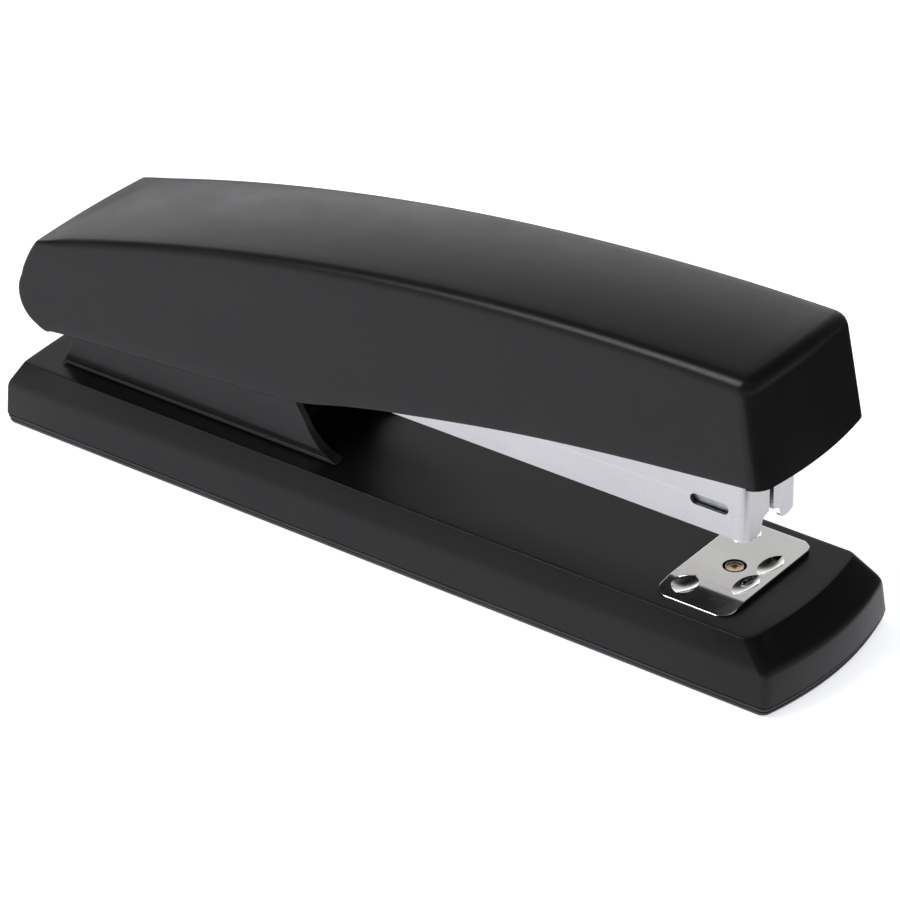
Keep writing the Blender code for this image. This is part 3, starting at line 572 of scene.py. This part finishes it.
def build_foot_pad():
    """Rubber pad with a groove round its side and treads below."""
    levels = [
        (0.0, 20.2, 93.9, 90.95, -93.9, -92.9, 0.0),
        (0.0, 20.6, 94.3, 91.3, -94.3, -93.3, 0.0),
        (0.95, 21.0, 94.7, 91.75, -94.7, -93.7, 0.0),
        (1.05, 20.8, 94.5, 91.55, -94.5, -93.5, 0.0),
        (1.3, 20.8, 94.5, 91.55, -94.5, -93.5, 0.0),
        (1.4, 21.12, 94.8, 91.9, -94.8, -93.8, 0.0),
        (PAD_TOP, 21.16, 94.84, 91.95, -94.84, -93.85, 0.0),
        (PAD_TOP, 19.6, 93.3, 90.4, -93.3, -92.3, 0.0),
    ]
    softness = [(0.6, 0.45), (0.12, 0.4), (0.4, 0.2), (0.2, 0.4), (0.4, 0.2), (0.2, 0.06)]
    pad = loft("foot_rubber", base_levels(levels, softness, 3), MATERIALS["rubber"], 50.0)
    combine(pad, turned("button_hole", "Z", (ANVIL_X, 0, 0), [(-2, 7), (5, 7)], 48), "DIFFERENCE")
    tread_pitch = 12.0
    tread_half = 0.6
    for k in range(14):
        x = -84.0 + k * tread_pitch
        if abs(x - ANVIL_X) > 10:
            groove = block("tread", x - tread_half, x + tread_half, -18.0, 18.0, -1.0, 0.35)
            combine(pad, groove, "DIFFERENCE")
    shade(pad, 35.0)
    attach(pad, "foot_pad")


def bracket_flare(foot):
    """Outer line of the bracket's wall from its foot up: a slanted lip, a narrow flange and the wall."""
    lip = [(13.98, 0.0), (14.08, 0.1), (13.84, 0.6)]
    flange = [(13.74, 0.68), (13.28, 0.78)]
    wall = [(13.24, 1.3), (13.0, 2.6), (12.66, 4.7), (BRACKET_OUTER, 6.3)]
    return [(y, foot + rise) for y, rise in lip + flange + wall]


def bracket_side(foot):
    """Side outline of the bracket: ear round the hinge, level edge and a front that sweeps to the foot."""
    rear = [(-84.2, foot), (-82.9, 17.5), (-81.9, 22.0), (-86.7, 26.1)]
    ear = arc(*PIVOT, 5.0, 225, 20, 24)
    edge = [(-74.0, 28.5), (-24.6, 28.5)]
    sweep = [(-24.3, 23.9), (-23.0, 21.8), (-21.4, 19.1), (-19.6, 17.2), (-17.3, 15.5), (-14.0, foot + 0.25)]
    front = [sweep[0]] + smooth_line(sweep, 3)[1:] + [(-13.6, foot)]
    return rear + ear + edge + front


def build_bracket():
    """Pressed pedestal: flared foot with a rolled lip, floor, long walls and the hinge ears."""
    foot = BASE_TOP + GAP
    inner = BRACKET_OUTER - BRACKET_WALL
    tall = 40.0
    floor = [(inner, tall), (inner, 16.6), (inner - 0.25, 16.15), (inner - 0.7, 15.97)]
    right = bracket_flare(foot) + [(BRACKET_OUTER, tall)] + floor
    left = [(-y, z) for y, z in right[::-1]]
    bracket = prism("hinge_pedestal", right + left, "X", -94.0, -10.0, None)
    right = [(inner + 1.4, 13.0), (inner + 1.4, foot + 0.1), (inner + 0.15, foot + 0.3), (inner, foot + 0.9)]
    right.append((inner, tall + 1.0))
    left = [(-y, z) for y, z in right[::-1]]
    combine(bracket, prism("front_relief", right + left, "X", BRACKET_FLOOR_FRONT_X, -9.0), "DIFFERENCE")
    combine(bracket, prism("side", bracket_side(foot), "Y", -20.0, 20.0), "INTERSECT")
    combine(bracket, pin_hole(), "DIFFERENCE")
    cut_rivet_holes(bracket)
    finish_edges(bracket, MATERIALS["black_enamel"], 0.24, 25.0, 3)
    attach(bracket, "hinge_bracket")


# ---- anvil ------------------------------------------------------------------------------------
def leaf_ring(x, y, length, width, z, scale):
    """A pointed oval across the anvil at one depth."""
    points = []
    steps = 14
    for side in (1, -1):
        for i in range(steps):
            along = side * (2 * i / steps - 1)
            bulge = (1 - abs(along) ** 2.4) ** 0.85
            points.append((x - side * width / 2 * bulge * scale, y + along * length / 2 * scale, z))
    return points


ANVIL_SEAT = BASE_TOP + 0.1
ANVIL_TOP = 15.12
ANVIL_HALF_X = 8.4
ANVIL_HALF_Y = 15.2
ANVIL_CORNER = 3.0
ANVIL_ROLL = 0.2             # how far in from the ends the rolled edge starts, and how far it drops
ANVIL_SLOPE_Y = 9.3          # the near end slopes down from here
ANVIL_SLOPE = math.tan(math.radians(9.5))


def anvil_half_width(y):
    """Half-width of the anvil at y, with its round corners."""
    over = abs(y) - (ANVIL_HALF_Y - ANVIL_CORNER)
    if over <= 0:
        return ANVIL_HALF_X
    return ANVIL_HALF_X - ANVIL_CORNER + math.sqrt(max(ANVIL_CORNER ** 2 - over ** 2, 0.0))


def anvil_sag(y):
    """How far the anvil's face lies below its top at y."""
    rolled = max(0.0, abs(y) - (ANVIL_HALF_Y - ANVIL_ROLL)) / ANVIL_ROLL
    drop = ANVIL_ROLL * (1 - math.sqrt(max(0.0, 1 - (rolled * 0.98) ** 2)))
    down = max(0.0, -y - ANVIL_SLOPE_Y)
    if down:
        return drop + ANVIL_SLOPE * down * down / (down + 0.9)
    return drop


def anvil_rows():
    """Places across the anvil, closer together on the rolled edges and the slope."""
    turns = range(0, 91, 15)
    rows = [-ANVIL_HALF_Y + ANVIL_ROLL * (1 - math.cos(math.radians(a))) for a in turns]
    rows += [lerp(rows[-1], -8.5, (i + 1) / 16) for i in range(16)]
    rows += [-4.0, 0.0, 4.0, 8.5, 12.2, 12.7, 13.2, 13.7, 14.2]
    rows += [ANVIL_HALF_Y - ANVIL_ROLL * (1 - math.cos(math.radians(a))) for a in turns[::-1]]
    return rows


def anvil_section(y):
    """Section of the anvil plate at y."""
    x = max(anvil_half_width(y), 3.0)
    upper = ANVIL_TOP - anvil_sag(y)
    lower = min(upper - 0.12, ANVIL_SEAT)
    edge = 0.1
    section = [(x - 0.02, lower), (x, upper - edge), (x - edge * 0.3, upper - edge * 0.3), (x - edge, upper)]
    section = [(-x + 0.02, lower)] + section
    section += [(-x + edge, upper), (-x + edge * 0.3, upper - edge * 0.3), (-x, upper - edge)]
    return [(ANVIL_X + px, y, pz) for px, pz in section]


def cut_pocket(plate, x, y, length, width):
    """Cuts one clinching pocket, bowl-shaped, its middle at x from the anvil's middle."""
    on_slope = y < -9
    mouth = ANVIL_TOP - (0.22 if on_slope else 0.0)
    depth = 0.68 if on_slope else 0.8
    rings = [leaf_ring(ANVIL_X + x, y, length, width, mouth + 1.0, 1.05)]
    for scale in (1.0, 0.9, 0.8, 0.7, 0.6, 0.5, 0.4, 0.3, 0.2, 0.05):
        rings.append(leaf_ring(ANVIL_X + x, y, length, width, mouth - depth * (1 - scale * scale), scale))
    combine(plate, loft("pocket", rings), "DIFFERENCE")


def build_anvil_plate():
    """Chrome anvil with rolled edges and four clinching pockets: two close together, two wide apart."""
    plate = loft("anvil_face", [anvil_section(y) for y in anvil_rows()], MATERIALS["chrome"], 25.0)
    combine(plate, turned("hole", "Z", (ANVIL_X, 0, 0), [(10, 2.35), (20, 2.35)], 40), "DIFFERENCE")
    cut_pocket(plate, 5.4, -4.35, 8.5, 3.9)
    cut_pocket(plate, 5.4, 4.1, 8.3, 3.9)
    cut_pocket(plate, -4.3, -10.7, 7.6, 5.0)
    cut_pocket(plate, -4.3, 10.7, 7.6, 5.0)
    shade(plate, 22.0)
    attach(plate, "anvil_plate")


def build_anvil_rivet():
    """Hollow rivet through the anvil: a rolled rim round a cup."""
    rim = [(14.3, 1.2), (14.3, 1.8), (14.95, 1.85), (15.05, 1.78), (15.03, 1.62), (14.92, 1.5)]
    hollow = [(14.86, 1.1), (14.84, 0.75), (14.72, 0.5), (14.6, 0.3), (14.56, 0.05)]
    cup = turned("anvil_rivet_cup", "Z", (ANVIL_X, 0, 0), rim + hollow, 40, MATERIALS["brass"])
    attach(cup, "anvil_rivet")


# ---- magazine ---------------------------------------------------------------------------------
CHANNEL_HALF = 9.2
CHANNEL_FRONT = 78.65
CHANNEL_LOW = 27.7
SHEET = 0.8
BEND = 2.0                   # outer radius of the folds at the nose


def channel_plan(half_width, front_x, radius):
    """Plan of the magazine: straight sides and two bent front corners."""
    points = [(-96.0, -half_width)]
    points += arc(front_x - radius, -half_width + radius, radius, -90, 0, 10)
    points += arc(front_x - radius, half_width - radius, radius, 0, 90, 10)
    points.append((-96.0, half_width))
    return points


def tab_tip(sign):
    """A cutter for the round lower tip of one nose tab."""
    line = [(2.7, 29.6), (3.04, 28.55), (3.35, 27.55), (4.2, 26.9), (5.3, 26.72), (6.7, 26.88), (7.8, 27.25)]
    line += [(8.6, 27.6), (9.4, CHANNEL_LOW)]
    outline = [(sign * y, z) for y, z in smooth_line(line, 4) + [(9.4, 20.0), (2.7, 20.0)]]
    return prism("tip", outline, "X", 76.2, 84.0)


def nose_gap():
    """A cutter for the driver's slot between the nose tabs, wider at their tips."""
    outline = [(-0.62, 60.0), (-0.62, 30.5), (-2.7, 29.9), (-3.1, 20.0)]
    outline += [(2.9, 20.0), (2.85, 29.4), (0.8, 30.1), (0.8, 60.0)]
    radii = [0, 0.25, 0.9, 0, 0, 0.3, 0.2, 0]
    return prism("nose_gap", rounded(outline, radii, 5), "X", CHANNEL_FRONT - SHEET - 1, 84.0)


def window():
    """A cutter for the round-ended window in both side walls."""
    half = 4.3
    radius = 1.15
    front = arc(ANVIL_X + half - radius, 33.5, radius, -90, 90, 12)
    rear = arc(ANVIL_X - half + radius, 33.5, radius, 90, 270, 12)
    return prism("window", front + rear, "Y", -20, 20)


def channel_side():
    """Side outline of the magazine, from the ear round the hinge to the nose tabs."""
    tip_z = 26.7
    tab_x = 76.4
    low = [(-78.5, CHANNEL_LOW), (tab_x, CHANNEL_LOW), (tab_x, tip_z), (90.0, tip_z)]
    high = [(90.0, 39.6), (-60.0, 39.6), (-74.0, 38.5)]
    return arc(*PIVOT, 4.9, 110, 322, 24) + low + high


def build_magazine():
    """Plated channel: folded sides, window, and a nose of two bent tabs with round tips."""
    outer = channel_plan(CHANNEL_HALF, CHANNEL_FRONT, BEND)
    inner = channel_plan(CHANNEL_HALF - SHEET, CHANNEL_FRONT - SHEET, BEND - SHEET)
    floor_top = CHANNEL_LOW + SHEET
    inner_half = CHANNEL_HALF - SHEET
    channel = prism("magazine_sleeve", outer, "Z", 20.0, 45.0, MATERIALS["nickel"])
    combine(channel, prism("side", channel_side(), "Y", -20, 20), "INTERSECT")
    combine(channel, prism("inside", inner, "Z", floor_top, 60.0), "DIFFERENCE")
    combine(channel, block("rear", -96.0, -74.0, -inner_half, inner_half, 20, 30), "DIFFERENCE")
    combine(channel, block("exit", 75.6, CHANNEL_FRONT - SHEET, -7.2, 7.2, 20, floor_top + 1), "DIFFERENCE")
    combine(channel, nose_gap(), "DIFFERENCE")
    for sign in (-1, 1):
        combine(channel, tab_tip(sign), "DIFFERENCE")
    combine(channel, window(), "DIFFERENCE")
    combine(channel, pin_hole(), "DIFFERENCE")
    finish_edges(channel, MATERIALS["nickel"], 0.16, 35.0, 2)
    attach(channel, "magazine_channel")


def build_staples():
    """The strip as separate staples glued side by side, with a fine groove between neighbours."""
    wire = 0.5
    groove = 0.09
    left = [(-STAPLE_HALF, TRACK_Z), (-STAPLE_HALF, STRIP_TOP)]
    right = [(STAPLE_HALF, STRIP_TOP), (STAPLE_HALF, TRACK_Z)]
    outer = rounded(left + right, [0, 0.5, 0.5, 0], 3)
    inner = [(y * (STAPLE_HALF - wire) / STAPLE_HALF, z - wire if z > TRACK_Z + 1 else z) for y, z in outer]
    outline = outer + inner[::-1]

    def ring_at(x, shrink):
        ring = []
        for index, (y, z) in enumerate(outline):
            thinner = -shrink if index < len(outer) else shrink
            across = -thinner if y < 0 else thinner
            ring.append((x, y + across, z + (thinner if z > TRACK_Z + 1 else 0.0)))
        return ring

    rings = []
    for k in range(int((STRIP_FRONT_X - STRIP_BACK_X) / wire)):
        start = STRIP_BACK_X + k * wire
        rings.append(ring_at(start, groove))
        rings.append(ring_at(start + groove, 0.0))
        rings.append(ring_at(start + wire - groove, 0.0))
    rings.append(ring_at(STRIP_FRONT_X, 0.0))
    strip = loft("staple_comb", rings, MATERIALS["staple_wire"], 20.0)
    attach(strip, "staple_strip")


def join(obj, node):
    """Puts a soft piece in place of a CAD node, with its placement baked into its mesh."""
    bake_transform(obj)
    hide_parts(node)


def build_return_leaf():
    """Leaf spring that lifts the magazine off the base."""
    leaf = bevelled_copy("return_spring", "return_leaf", 0.12)
    leaf.parent = None
    join(leaf, "return_spring")


def build_pusher_spring():
    """Long coil round the guide rod, behind the pusher."""
    low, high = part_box("pusher_spring")
    axis_z = 32.5
    coil = helix("pusher_coil", "X", (0, 0, axis_z), low.x / MM + 0.1, high.x / MM - 0.1, 1.5, 0.22, 30,
                 MATERIALS["spring_steel"])
    join(coil, "pusher_spring")


def build_anvil_spring():
    """Short coil that holds the anvil down on the base."""
    low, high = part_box("anvil_spring")
    coil = helix("anvil_coil", "Z", (ANVIL_X, 0, 0), low.z / MM + 0.35, high.z / MM - 0.1, 3.2, 0.3, 4.5,
                 MATERIALS["spring_steel"])
    join(coil, "anvil_spring")


def bevelled_copy(node, name, width, angle=35.0):
    """A copy of a CAD node's shape with its faces made whole and its edges rounded."""
    mesh = frame["nodes"][node].data.copy()
    obj = bpy.data.objects.new(name, mesh)
    bpy.context.scene.collection.objects.link(obj)
    if mesh.attributes.get("custom_normal"):
        mesh.attributes.remove(mesh.attributes["custom_normal"])
    return finish_edges(obj, MATERIALS[SLOT_OF[node]], width, angle)


def refine_small_parts():
    """Rounded-edge copies of the sheet and turned parts."""
    widths = {
        "staple_rail": 0.12, "pusher": 0.2, "spring_seat": 0.15, "latch_saddle": 0.15, "handle_frame": 0.2,
        "driver_blade": 0.08, "handle_spring": 0.1, "hinge_pin": 0.15, "pin_clip": 0.08, "anvil_button": 0.15,
        "bracket_rivet_1": 0.08, "bracket_rivet_2": 0.08, "bracket_rivet_3": 0.08, "bracket_rivet_4": 0.08,
        "seat_rivet": 0.08, "guide_rod": 0.08, "driver_rivet_1": 0.06, "driver_rivet_2": 0.06,
        "base_plate": 0.15,
    }
    for node, width in widths.items():
        attach(bevelled_copy(node, node + "_fine", width), node)


# ---- handle cover -----------------------------------------------------------------------------
COVER_WALL = 1.8
COVER_HALF = 18.1
COVER_DRAFT = 0.038          # how much narrower it gets for each millimetre of height
COVER_CROWN = 1.2            # how far its top swells upward
COVER_BULGE = 1.8            # and its nose forward
COVER_BACK = (-86.8, 42.8)
COVER_NOSE_TOP = (83.9, 67.0)
COVER_NOSE_LOW = (87.6, 46.0)
COVER_TAIL = 7.4             # radius of its tail round the hinge
TONGUE_HALF = 10.4           # half-width of the tail between the two slots
SLOT_OUTER = 13.1
RIM_RADIUS = 0.7             # of the lower rim
RIM_STEPS = 4
BACK_EDGE = 0.8              # radius of the upper side edges at the back
NOSE_EDGE = 2.9              # and at the nose
ROOF_END_X = COVER_NOSE_TOP[0] - 2.4
LOW_BACK_X = -80.5           # the lower rim under the back corner
LOW_NOSE_X = 81.8            # and under the nose's top


def cover_top(x):
    """Height of the cover's upper side edge at x."""
    share = (COVER_NOSE_TOP[0] - x) / (COVER_NOSE_TOP[0] - COVER_BACK[0])
    return COVER_NOSE_TOP[1] - (COVER_NOSE_TOP[1] - COVER_BACK[1]) * max(share, 0.0) ** 2.2


def cover_half_width(x, z):
    """Half-width of the cover at a point of its side, with the draft of the mould."""
    low = 24.0 + 0.1 * (x + 24.0 + math.sqrt((x + 24.0) ** 2 + 64.0))
    return COVER_HALF - COVER_DRAFT * (z - low + math.sqrt((z - low) ** 2 + 4.0)) / 2


def ease(value):
    """Smooth step from 0 to 1."""
    t = max(0.0, min(1.0, value))
    return t * t * (3 - 2 * t)


def cover_path():
    """Upper side line, lower tail to lower nose: (x, z, edge radius, crown share, bulge share)."""
    return cover_tail_path() + cover_roof_path() + cover_nose_path()


def cover_tail_path():
    """The path round the hinge and up to the back corner."""
    tail = arc(*PIVOT, COVER_TAIL, 270, 152, 24)
    tail += smooth_line([tail[-1], (-90.2, 36.7), (-88.4, 40.4), COVER_BACK], 4)[1:-1]
    path = [(x, z, 0.7 * ease(i / 5), 0.0, 0.0) for i, (x, z) in enumerate(tail)]
    after = (-83.0, cover_top(-83.0))
    for x, z in corner_arc(tail[-1], COVER_BACK, after, 0.9, 5):
        path.append((x, z, BACK_EDGE, 0.4, 0.0))
    return path


def cover_roof_path():
    """The path along the top, its edge radius growing toward the nose."""
    start_x = cover_tail_path()[-1][0]
    steps = 60
    path = []
    for i in range(1, steps):
        x = lerp(start_x, ROOF_END_X, i / steps)
        radius = lerp(BACK_EDGE, 1.7, ease((x + 86.0) / 8.0))
        radius += 0.7 * ease((x + 70.0) / 110.0)
        radius += 0.4 * ease((x - 62) / 18)
        path.append((x, cover_top(x), radius, ease((x + 88.0) / 8.0), ease((x - 62.0) / 22.0)))
    return path


def cover_nose_path():
    """The path over the nose's round top and down its front."""
    before = (ROOF_END_X - 4.0, cover_top(ROOF_END_X - 4.0))
    nose = corner_arc(before, COVER_NOSE_TOP, COVER_NOSE_LOW, 3.1, 9)
    path = []
    for i, (x, z) in enumerate(nose):
        path.append((x, z, NOSE_EDGE, 1.0 - 0.3 * i / 9, 1.0))
    for i in range(1, 9):
        x, z = lerp(nose[-1], COVER_NOSE_LOW, i / 8)
        path.append((x, z, NOSE_EDGE, 0.7 * (1 - i / 8), 1.0))
    return path


# the lower rim from the tail to the nose, in x and z
COVER_LOW_LINE = [(-83.98, 23.22), (-79.0, 23.7)]
COVER_LOW_LINE += smooth_line([(-79.0, 23.7), (-52.0, 25.6), (-26.0, 27.5), (-19.0, 28.4), (-13.5, 29.8),
                               (-6.5, 31.7), (6.2, 34.5), (30.0, 39.0), (52.3, 42.2), (74.6, 44.7),
                               (84.62, 45.7)], 5)[1:]


def cover_lower(path):
    """Lower edge point under each point of the path."""
    first = next(i for i, p in enumerate(path) if p[1] > COVER_BACK[1])
    last = max(i for i, p in enumerate(path) if p[1] > COVER_NOSE_TOP[1] - 0.6)
    result = []
    for i in range(len(path)):
        if i <= first:
            x = lerp(COVER_LOW_LINE[0][0], LOW_BACK_X, i / first)
        elif i <= last:
            x = lerp(LOW_BACK_X, LOW_NOSE_X, (path[i][0] - path[first][0]) / (path[last][0] - path[first][0]))
        else:
            x = lerp(LOW_NOSE_X, COVER_LOW_LINE[-1][0], (i - last) / (len(path) - 1 - last))
        result.append((x, height_at(COVER_LOW_LINE, x)))
    return result


def cover_inward(path, i):
    """Direction from the path into the cover, turned level on the nose's front."""
    x, z = path[i][:2]
    before = path[max(i - 1, 0)]
    after = path[min(i + 1, len(path) - 1)]
    along = Vector((after[0] - before[0], after[1] - before[1])).normalized()
    inward = Vector((along.y, -along.x))
    front_z = COVER_NOSE_TOP[1] - 3.0
    if x > COVER_NOSE_TOP[0] - 1.0 and z < front_z:
        level = Vector((-0.995, -0.1))
        inward = inward.lerp(level, ease((front_z - z) / 12.0)).normalized()
    return inward


def cover_side(low, high):
    """Points up one side from the lower rim to where the upper edge starts to turn."""
    height = max((Vector(high) - Vector(low)).length, 1e-6)
    rim = min(RIM_RADIUS, 0.3 * height)
    rows = 7
    half = []
    for k in range(RIM_STEPS):
        angle = math.radians(90 * k / RIM_STEPS)
        x, z = lerp(low, high, rim * (1 - math.cos(angle)) / height)
        half.append((x, cover_half_width(x, z) - rim * (1 - math.sin(angle)), z))
    for k in range(rows):
        x, z = lerp(low, high, lerp(rim / height, 1.0, k / rows))
        half.append((x, cover_half_width(x, z), z))
    return half


def cover_column(path, lower, i):
    """One column of the cover's skin, from the right lower rim over the top to the left."""
    x, z, edge, crown, bulge = path[i]
    inward = cover_inward(path, i)
    half = cover_side(lower[i], (x + inward.x * edge, z + inward.y * edge))
    edge_rows = 7
    top_rows = 8
    for k in range(edge_rows + 1):
        angle = math.radians(90 * (1 - k / edge_rows))
        inset = edge * (1 - math.cos(angle))
        px = x + inward.x * inset
        pz = z + inward.y * inset
        half.append((px, cover_half_width(px, pz) - edge * (1 - math.sin(angle)), pz))
    flat = half[-1][1]
    for k in range(1, top_rows + 1):
        half.append((x, flat * (1 - k / top_rows), z))
    full = [(px, -y, pz) for px, y, pz in half] + half[:-1][::-1]
    column = []
    width = cover_half_width(x, z)
    for px, y, pz in full:
        hump = 1.0 - min(1.0, abs(y) / width) ** 2
        column.append((px + COVER_BULGE * hump * bulge, y, pz + COVER_CROWN * hump * crown))
    return column


def cover_hollow():
    """Room inside the cover, open below, with its walls a wall's thickness from the skin."""
    def outline(inset):
        points = [(-70.0, 5.0), (-88.0, 5.0)]
        points += arc(*PIVOT, COVER_TAIL - COVER_WALL - inset, 262, 150, 16)
        points.append((-87.6 + inset, 39.8))
        steps = 24
        back_x = -85.2 + inset
        front_x = COVER_NOSE_TOP[0] - COVER_WALL - 0.3 - inset
        for i in range(steps + 1):
            x = lerp(back_x, front_x, i / steps)
            points.append((x, cover_top(x) - COVER_WALL - inset))
        points += [(86.0 - inset, 44.0), (86.2 - inset, 5.0)]
        return points
    rings = []
    for y, inset in ((-15.9, 1.1), (-15.5, 0.4), (-14.6, 0.0), (14.6, 0.0), (15.5, 0.4), (15.9, 1.1)):
        rings.append([(x, y, z) for x, z in outline(inset)])
    return loft("cover_room", rings)


def build_cover():
    """Moulded handle cover with a real wall, a rounded rim and the slots round the hinge."""
    path = cover_path()
    lower = cover_lower(path)
    columns = [cover_column(path, lower, i) for i in range(len(path))]
    cover = loft("handle_shell", columns, MATERIALS["black_plastic"], 50.0)
    combine(cover, cover_hollow(), "DIFFERENCE")
    for y0, y1 in ((-SLOT_OUTER, -TONGUE_HALF), (TONGUE_HALF, SLOT_OUTER)):
        combine(cover, block("slot", -100, -78.0, y0, y1, 10, 42.0), "DIFFERENCE")
    tail_end = 244
    low = arc(*PIVOT, 25.0, tail_end, tail_end, 1)[0]
    wedge = [PIVOT, low, (-60.0, low[1]), (-60.0, PIVOT[1])]
    combine(cover, prism("tail_end", wedge, "Y", -SLOT_OUTER, SLOT_OUTER), "DIFFERENCE")
    shade(cover, 35.0)
    attach(cover, "handle_cover")


def build_cover_rib(number, x, side, sign):
    """One stiffening rib in a corner of the cover's roof; sign picks the side."""
    roof = cover_top(x) - 1.2
    low = height_at(COVER_LOW_LINE, x) + 4.0
    outer = [(16.6, roof - 3.0), (16.6, low), (15.4, low)]
    inner = [(11.4, roof - 4.0), (11.4, roof), (15.5, roof)]
    outline = [(sign * y, z) for y, z in outer + inner]
    half = 0.55
    return prism(f"cover_rib_{number}_{side}", outline, "X", x - half, x + half)


def build_cover_ribs():
    """Three pairs of ribs inside the cover."""
    for number, x in enumerate((8.0, 30.0, 52.0), 1):
        pair = [build_cover_rib(number, x, "r", -1), build_cover_rib(number, x, "l", 1)]
        for rib in pair:
            finish_edges(rib, MATERIALS["black_plastic"], 0.2)
            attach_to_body(rib, "handle")


# ---- stage ------------------------------------------------------------------------------------
def area_light(name, location, target, size, power, color=(1.0, 1.0, 1.0)):
    """A soft rectangular light aimed at a point, in metres."""
    data = bpy.data.lights.new(name, "AREA")
    data.shape = "RECTANGLE"
    data.size, data.size_y = size
    data.energy = power
    data.color = color
    lamp = bpy.data.objects.new(name, data)
    lamp.location = location
    direction = Vector(target) - Vector(location)
    lamp.rotation_euler = direction.to_track_quat("-Z", "Y").to_euler()
    bpy.context.scene.collection.objects.link(lamp)
    return lamp


def build_lights():
    """A softbox over the near side at the back, and a wide weak light overhead that no surface mirrors."""
    area_light("softbox", (-0.42, -0.56, 0.8), (0.04, 0, 0.05), (0.36, 0.42), 4.4, (0.94, 0.97, 1.0))
    fill = area_light("overhead", (-0.1, 0.1, 1.4), (0, 0, 0), (1.6, 1.6), 8.0)
    fill.visible_glossy = False


FLOOR_GLOW = 0.68


def build_floor():
    """A plain pale floor, lit from below like a light table."""
    reach = 3000.0
    depth = -0.05
    corners = [(-reach, -reach, depth), (reach, -reach, depth), (reach, reach, depth), (-reach, reach, depth)]
    n = Nodes("pale_floor")
    tone = n.mix_color(n.noise(3.0, 2.0), (0.88, 0.88, 0.88), (0.90, 0.90, 0.90))
    n.link(tone, n.shader.inputs["Base Color"])
    n.shader.inputs["Roughness"].default_value = 0.9
    n.shader.inputs["Specular IOR Level"].default_value = 0.1
    n.shader.inputs["Emission Color"].default_value = (0.97, 0.98, 1.03, 1.0)
    n.shader.inputs["Emission Strength"].default_value = FLOOR_GLOW
    floor = make_object("floor", corners, [(0, 1, 2, 3)], n.material)


def build_flag():
    """A black card lying past the nose that only shows in reflections."""
    far = 1500.0
    height = 0.4
    outline = [(138, -far), (far, -far), (far, far), (-far, far)]
    outline += [(-far, 95), (76, 95), (92, 72), (138, 72)]
    n = Nodes("flag_black")
    n.link(n.mix_color(n.noise(20.0), (0.02, 0.02, 0.02), (0.03, 0.03, 0.03)), n.shader.inputs["Base Color"])
    corners = [(x, y, height) for x, y in outline]
    card = make_object("flag", corners, [tuple(range(len(corners)))], n.material)
    card.visible_camera = False
    card.visible_diffuse = False
    card.visible_shadow = False


def build_world():
    """Studio surround painted by direction: bright low behind the hinge, dim overhead and past the nose."""
    world = bpy.data.worlds.new("studio")
    bpy.context.scene.world = world
    world.use_nodes = True
    tree = world.node_tree
    background = tree.nodes["Background"]
    coordinates = tree.nodes.new("ShaderNodeTexCoord")
    split = tree.nodes.new("ShaderNodeSeparateXYZ")
    tree.links.new(coordinates.outputs["Generated"], split.inputs["Vector"])

    def ramp(axis, low, high, to_low, to_high):
        node = tree.nodes.new("ShaderNodeMapRange")
        node.interpolation_type = "SMOOTHSTEP"
        for key, number in (("From Min", low), ("From Max", high), ("To Min", to_low), ("To Max", to_high)):
            node.inputs[key].default_value = number
        tree.links.new(split.outputs[axis], node.inputs["Value"])
        return node.outputs["Result"]

    def combine_values(operation, first, second):
        node = tree.nodes.new("ShaderNodeMath")
        node.operation = operation
        tree.links.new(first, node.inputs[0])
        tree.links.new(second, node.inputs[1])
        return node.outputs[0]

    behind = ramp("Y", -0.15, 0.35, 0.0, 1.0)
    near = ramp("Y", -0.15, 0.35, 1.0, 0.0)
    far_level = combine_values("MULTIPLY", behind, ramp("Z", 0.0, 0.85, 1.56, 0.12))
    near_level = combine_values("MULTIPLY", near, ramp("Z", 0.15, 0.5, 1.08, 0.05))
    level = combine_values("ADD", far_level, near_level)
    level = combine_values("MULTIPLY", level, ramp("X", -0.45, 0.25, 1.0, 0.06))
    low = ramp("Z", 0.05, 0.45, 1.0, 0.2)
    right_far = combine_values("MULTIPLY", behind, ramp("X", 0.5, 0.85, 0.0, 0.8))
    right_near = combine_values("MULTIPLY", near, ramp("X", -0.1, 0.4, 0.0, 0.72))
    right = combine_values("MULTIPLY", combine_values("ADD", right_far, right_near), low)
    level = combine_values("ADD", level, right)
    tree.links.new(level, background.inputs["Strength"])
    background.inputs["Color"].default_value = (0.97, 0.98, 1.0, 1.0)


def build_camera():
    """A long lens, looking down from the near side past the nose."""
    data = bpy.data.cameras.new("camera")
    data.lens = 185.72
    data.sensor_width = 36.0
    data.clip_start = 0.05
    data.clip_end = 20.0
    camera = bpy.data.objects.new("camera", data)
    right = Vector((0.80320627, 0.59558975, -0.01151241))
    up = Vector((-0.30006558, 0.4212092, 0.85588753))
    back = Vector((0.51460697, -0.68399975, 0.51703385))
    matrix = Matrix((right, up, back)).transposed().to_4x4()
    matrix.translation = Vector((0.472854, -0.623288, 0.488345))
    camera.matrix_world = matrix
    bpy.context.scene.collection.objects.link(camera)
    bpy.context.scene.camera = camera


def build_stage():
    """Floor, surround, lights and camera."""
    bpy.context.scene.view_settings.view_transform = "Standard"
    build_floor()
    build_flag()
    build_world()
    build_lights()
    build_camera()


build_base()
build_foot_pad()
build_bracket()
build_anvil_plate()
build_anvil_rivet()
build_magazine()
build_staples()
build_return_leaf()
build_pusher_spring()
build_anvil_spring()
refine_small_parts()
build_cover()
build_cover_ribs()
build_stage()
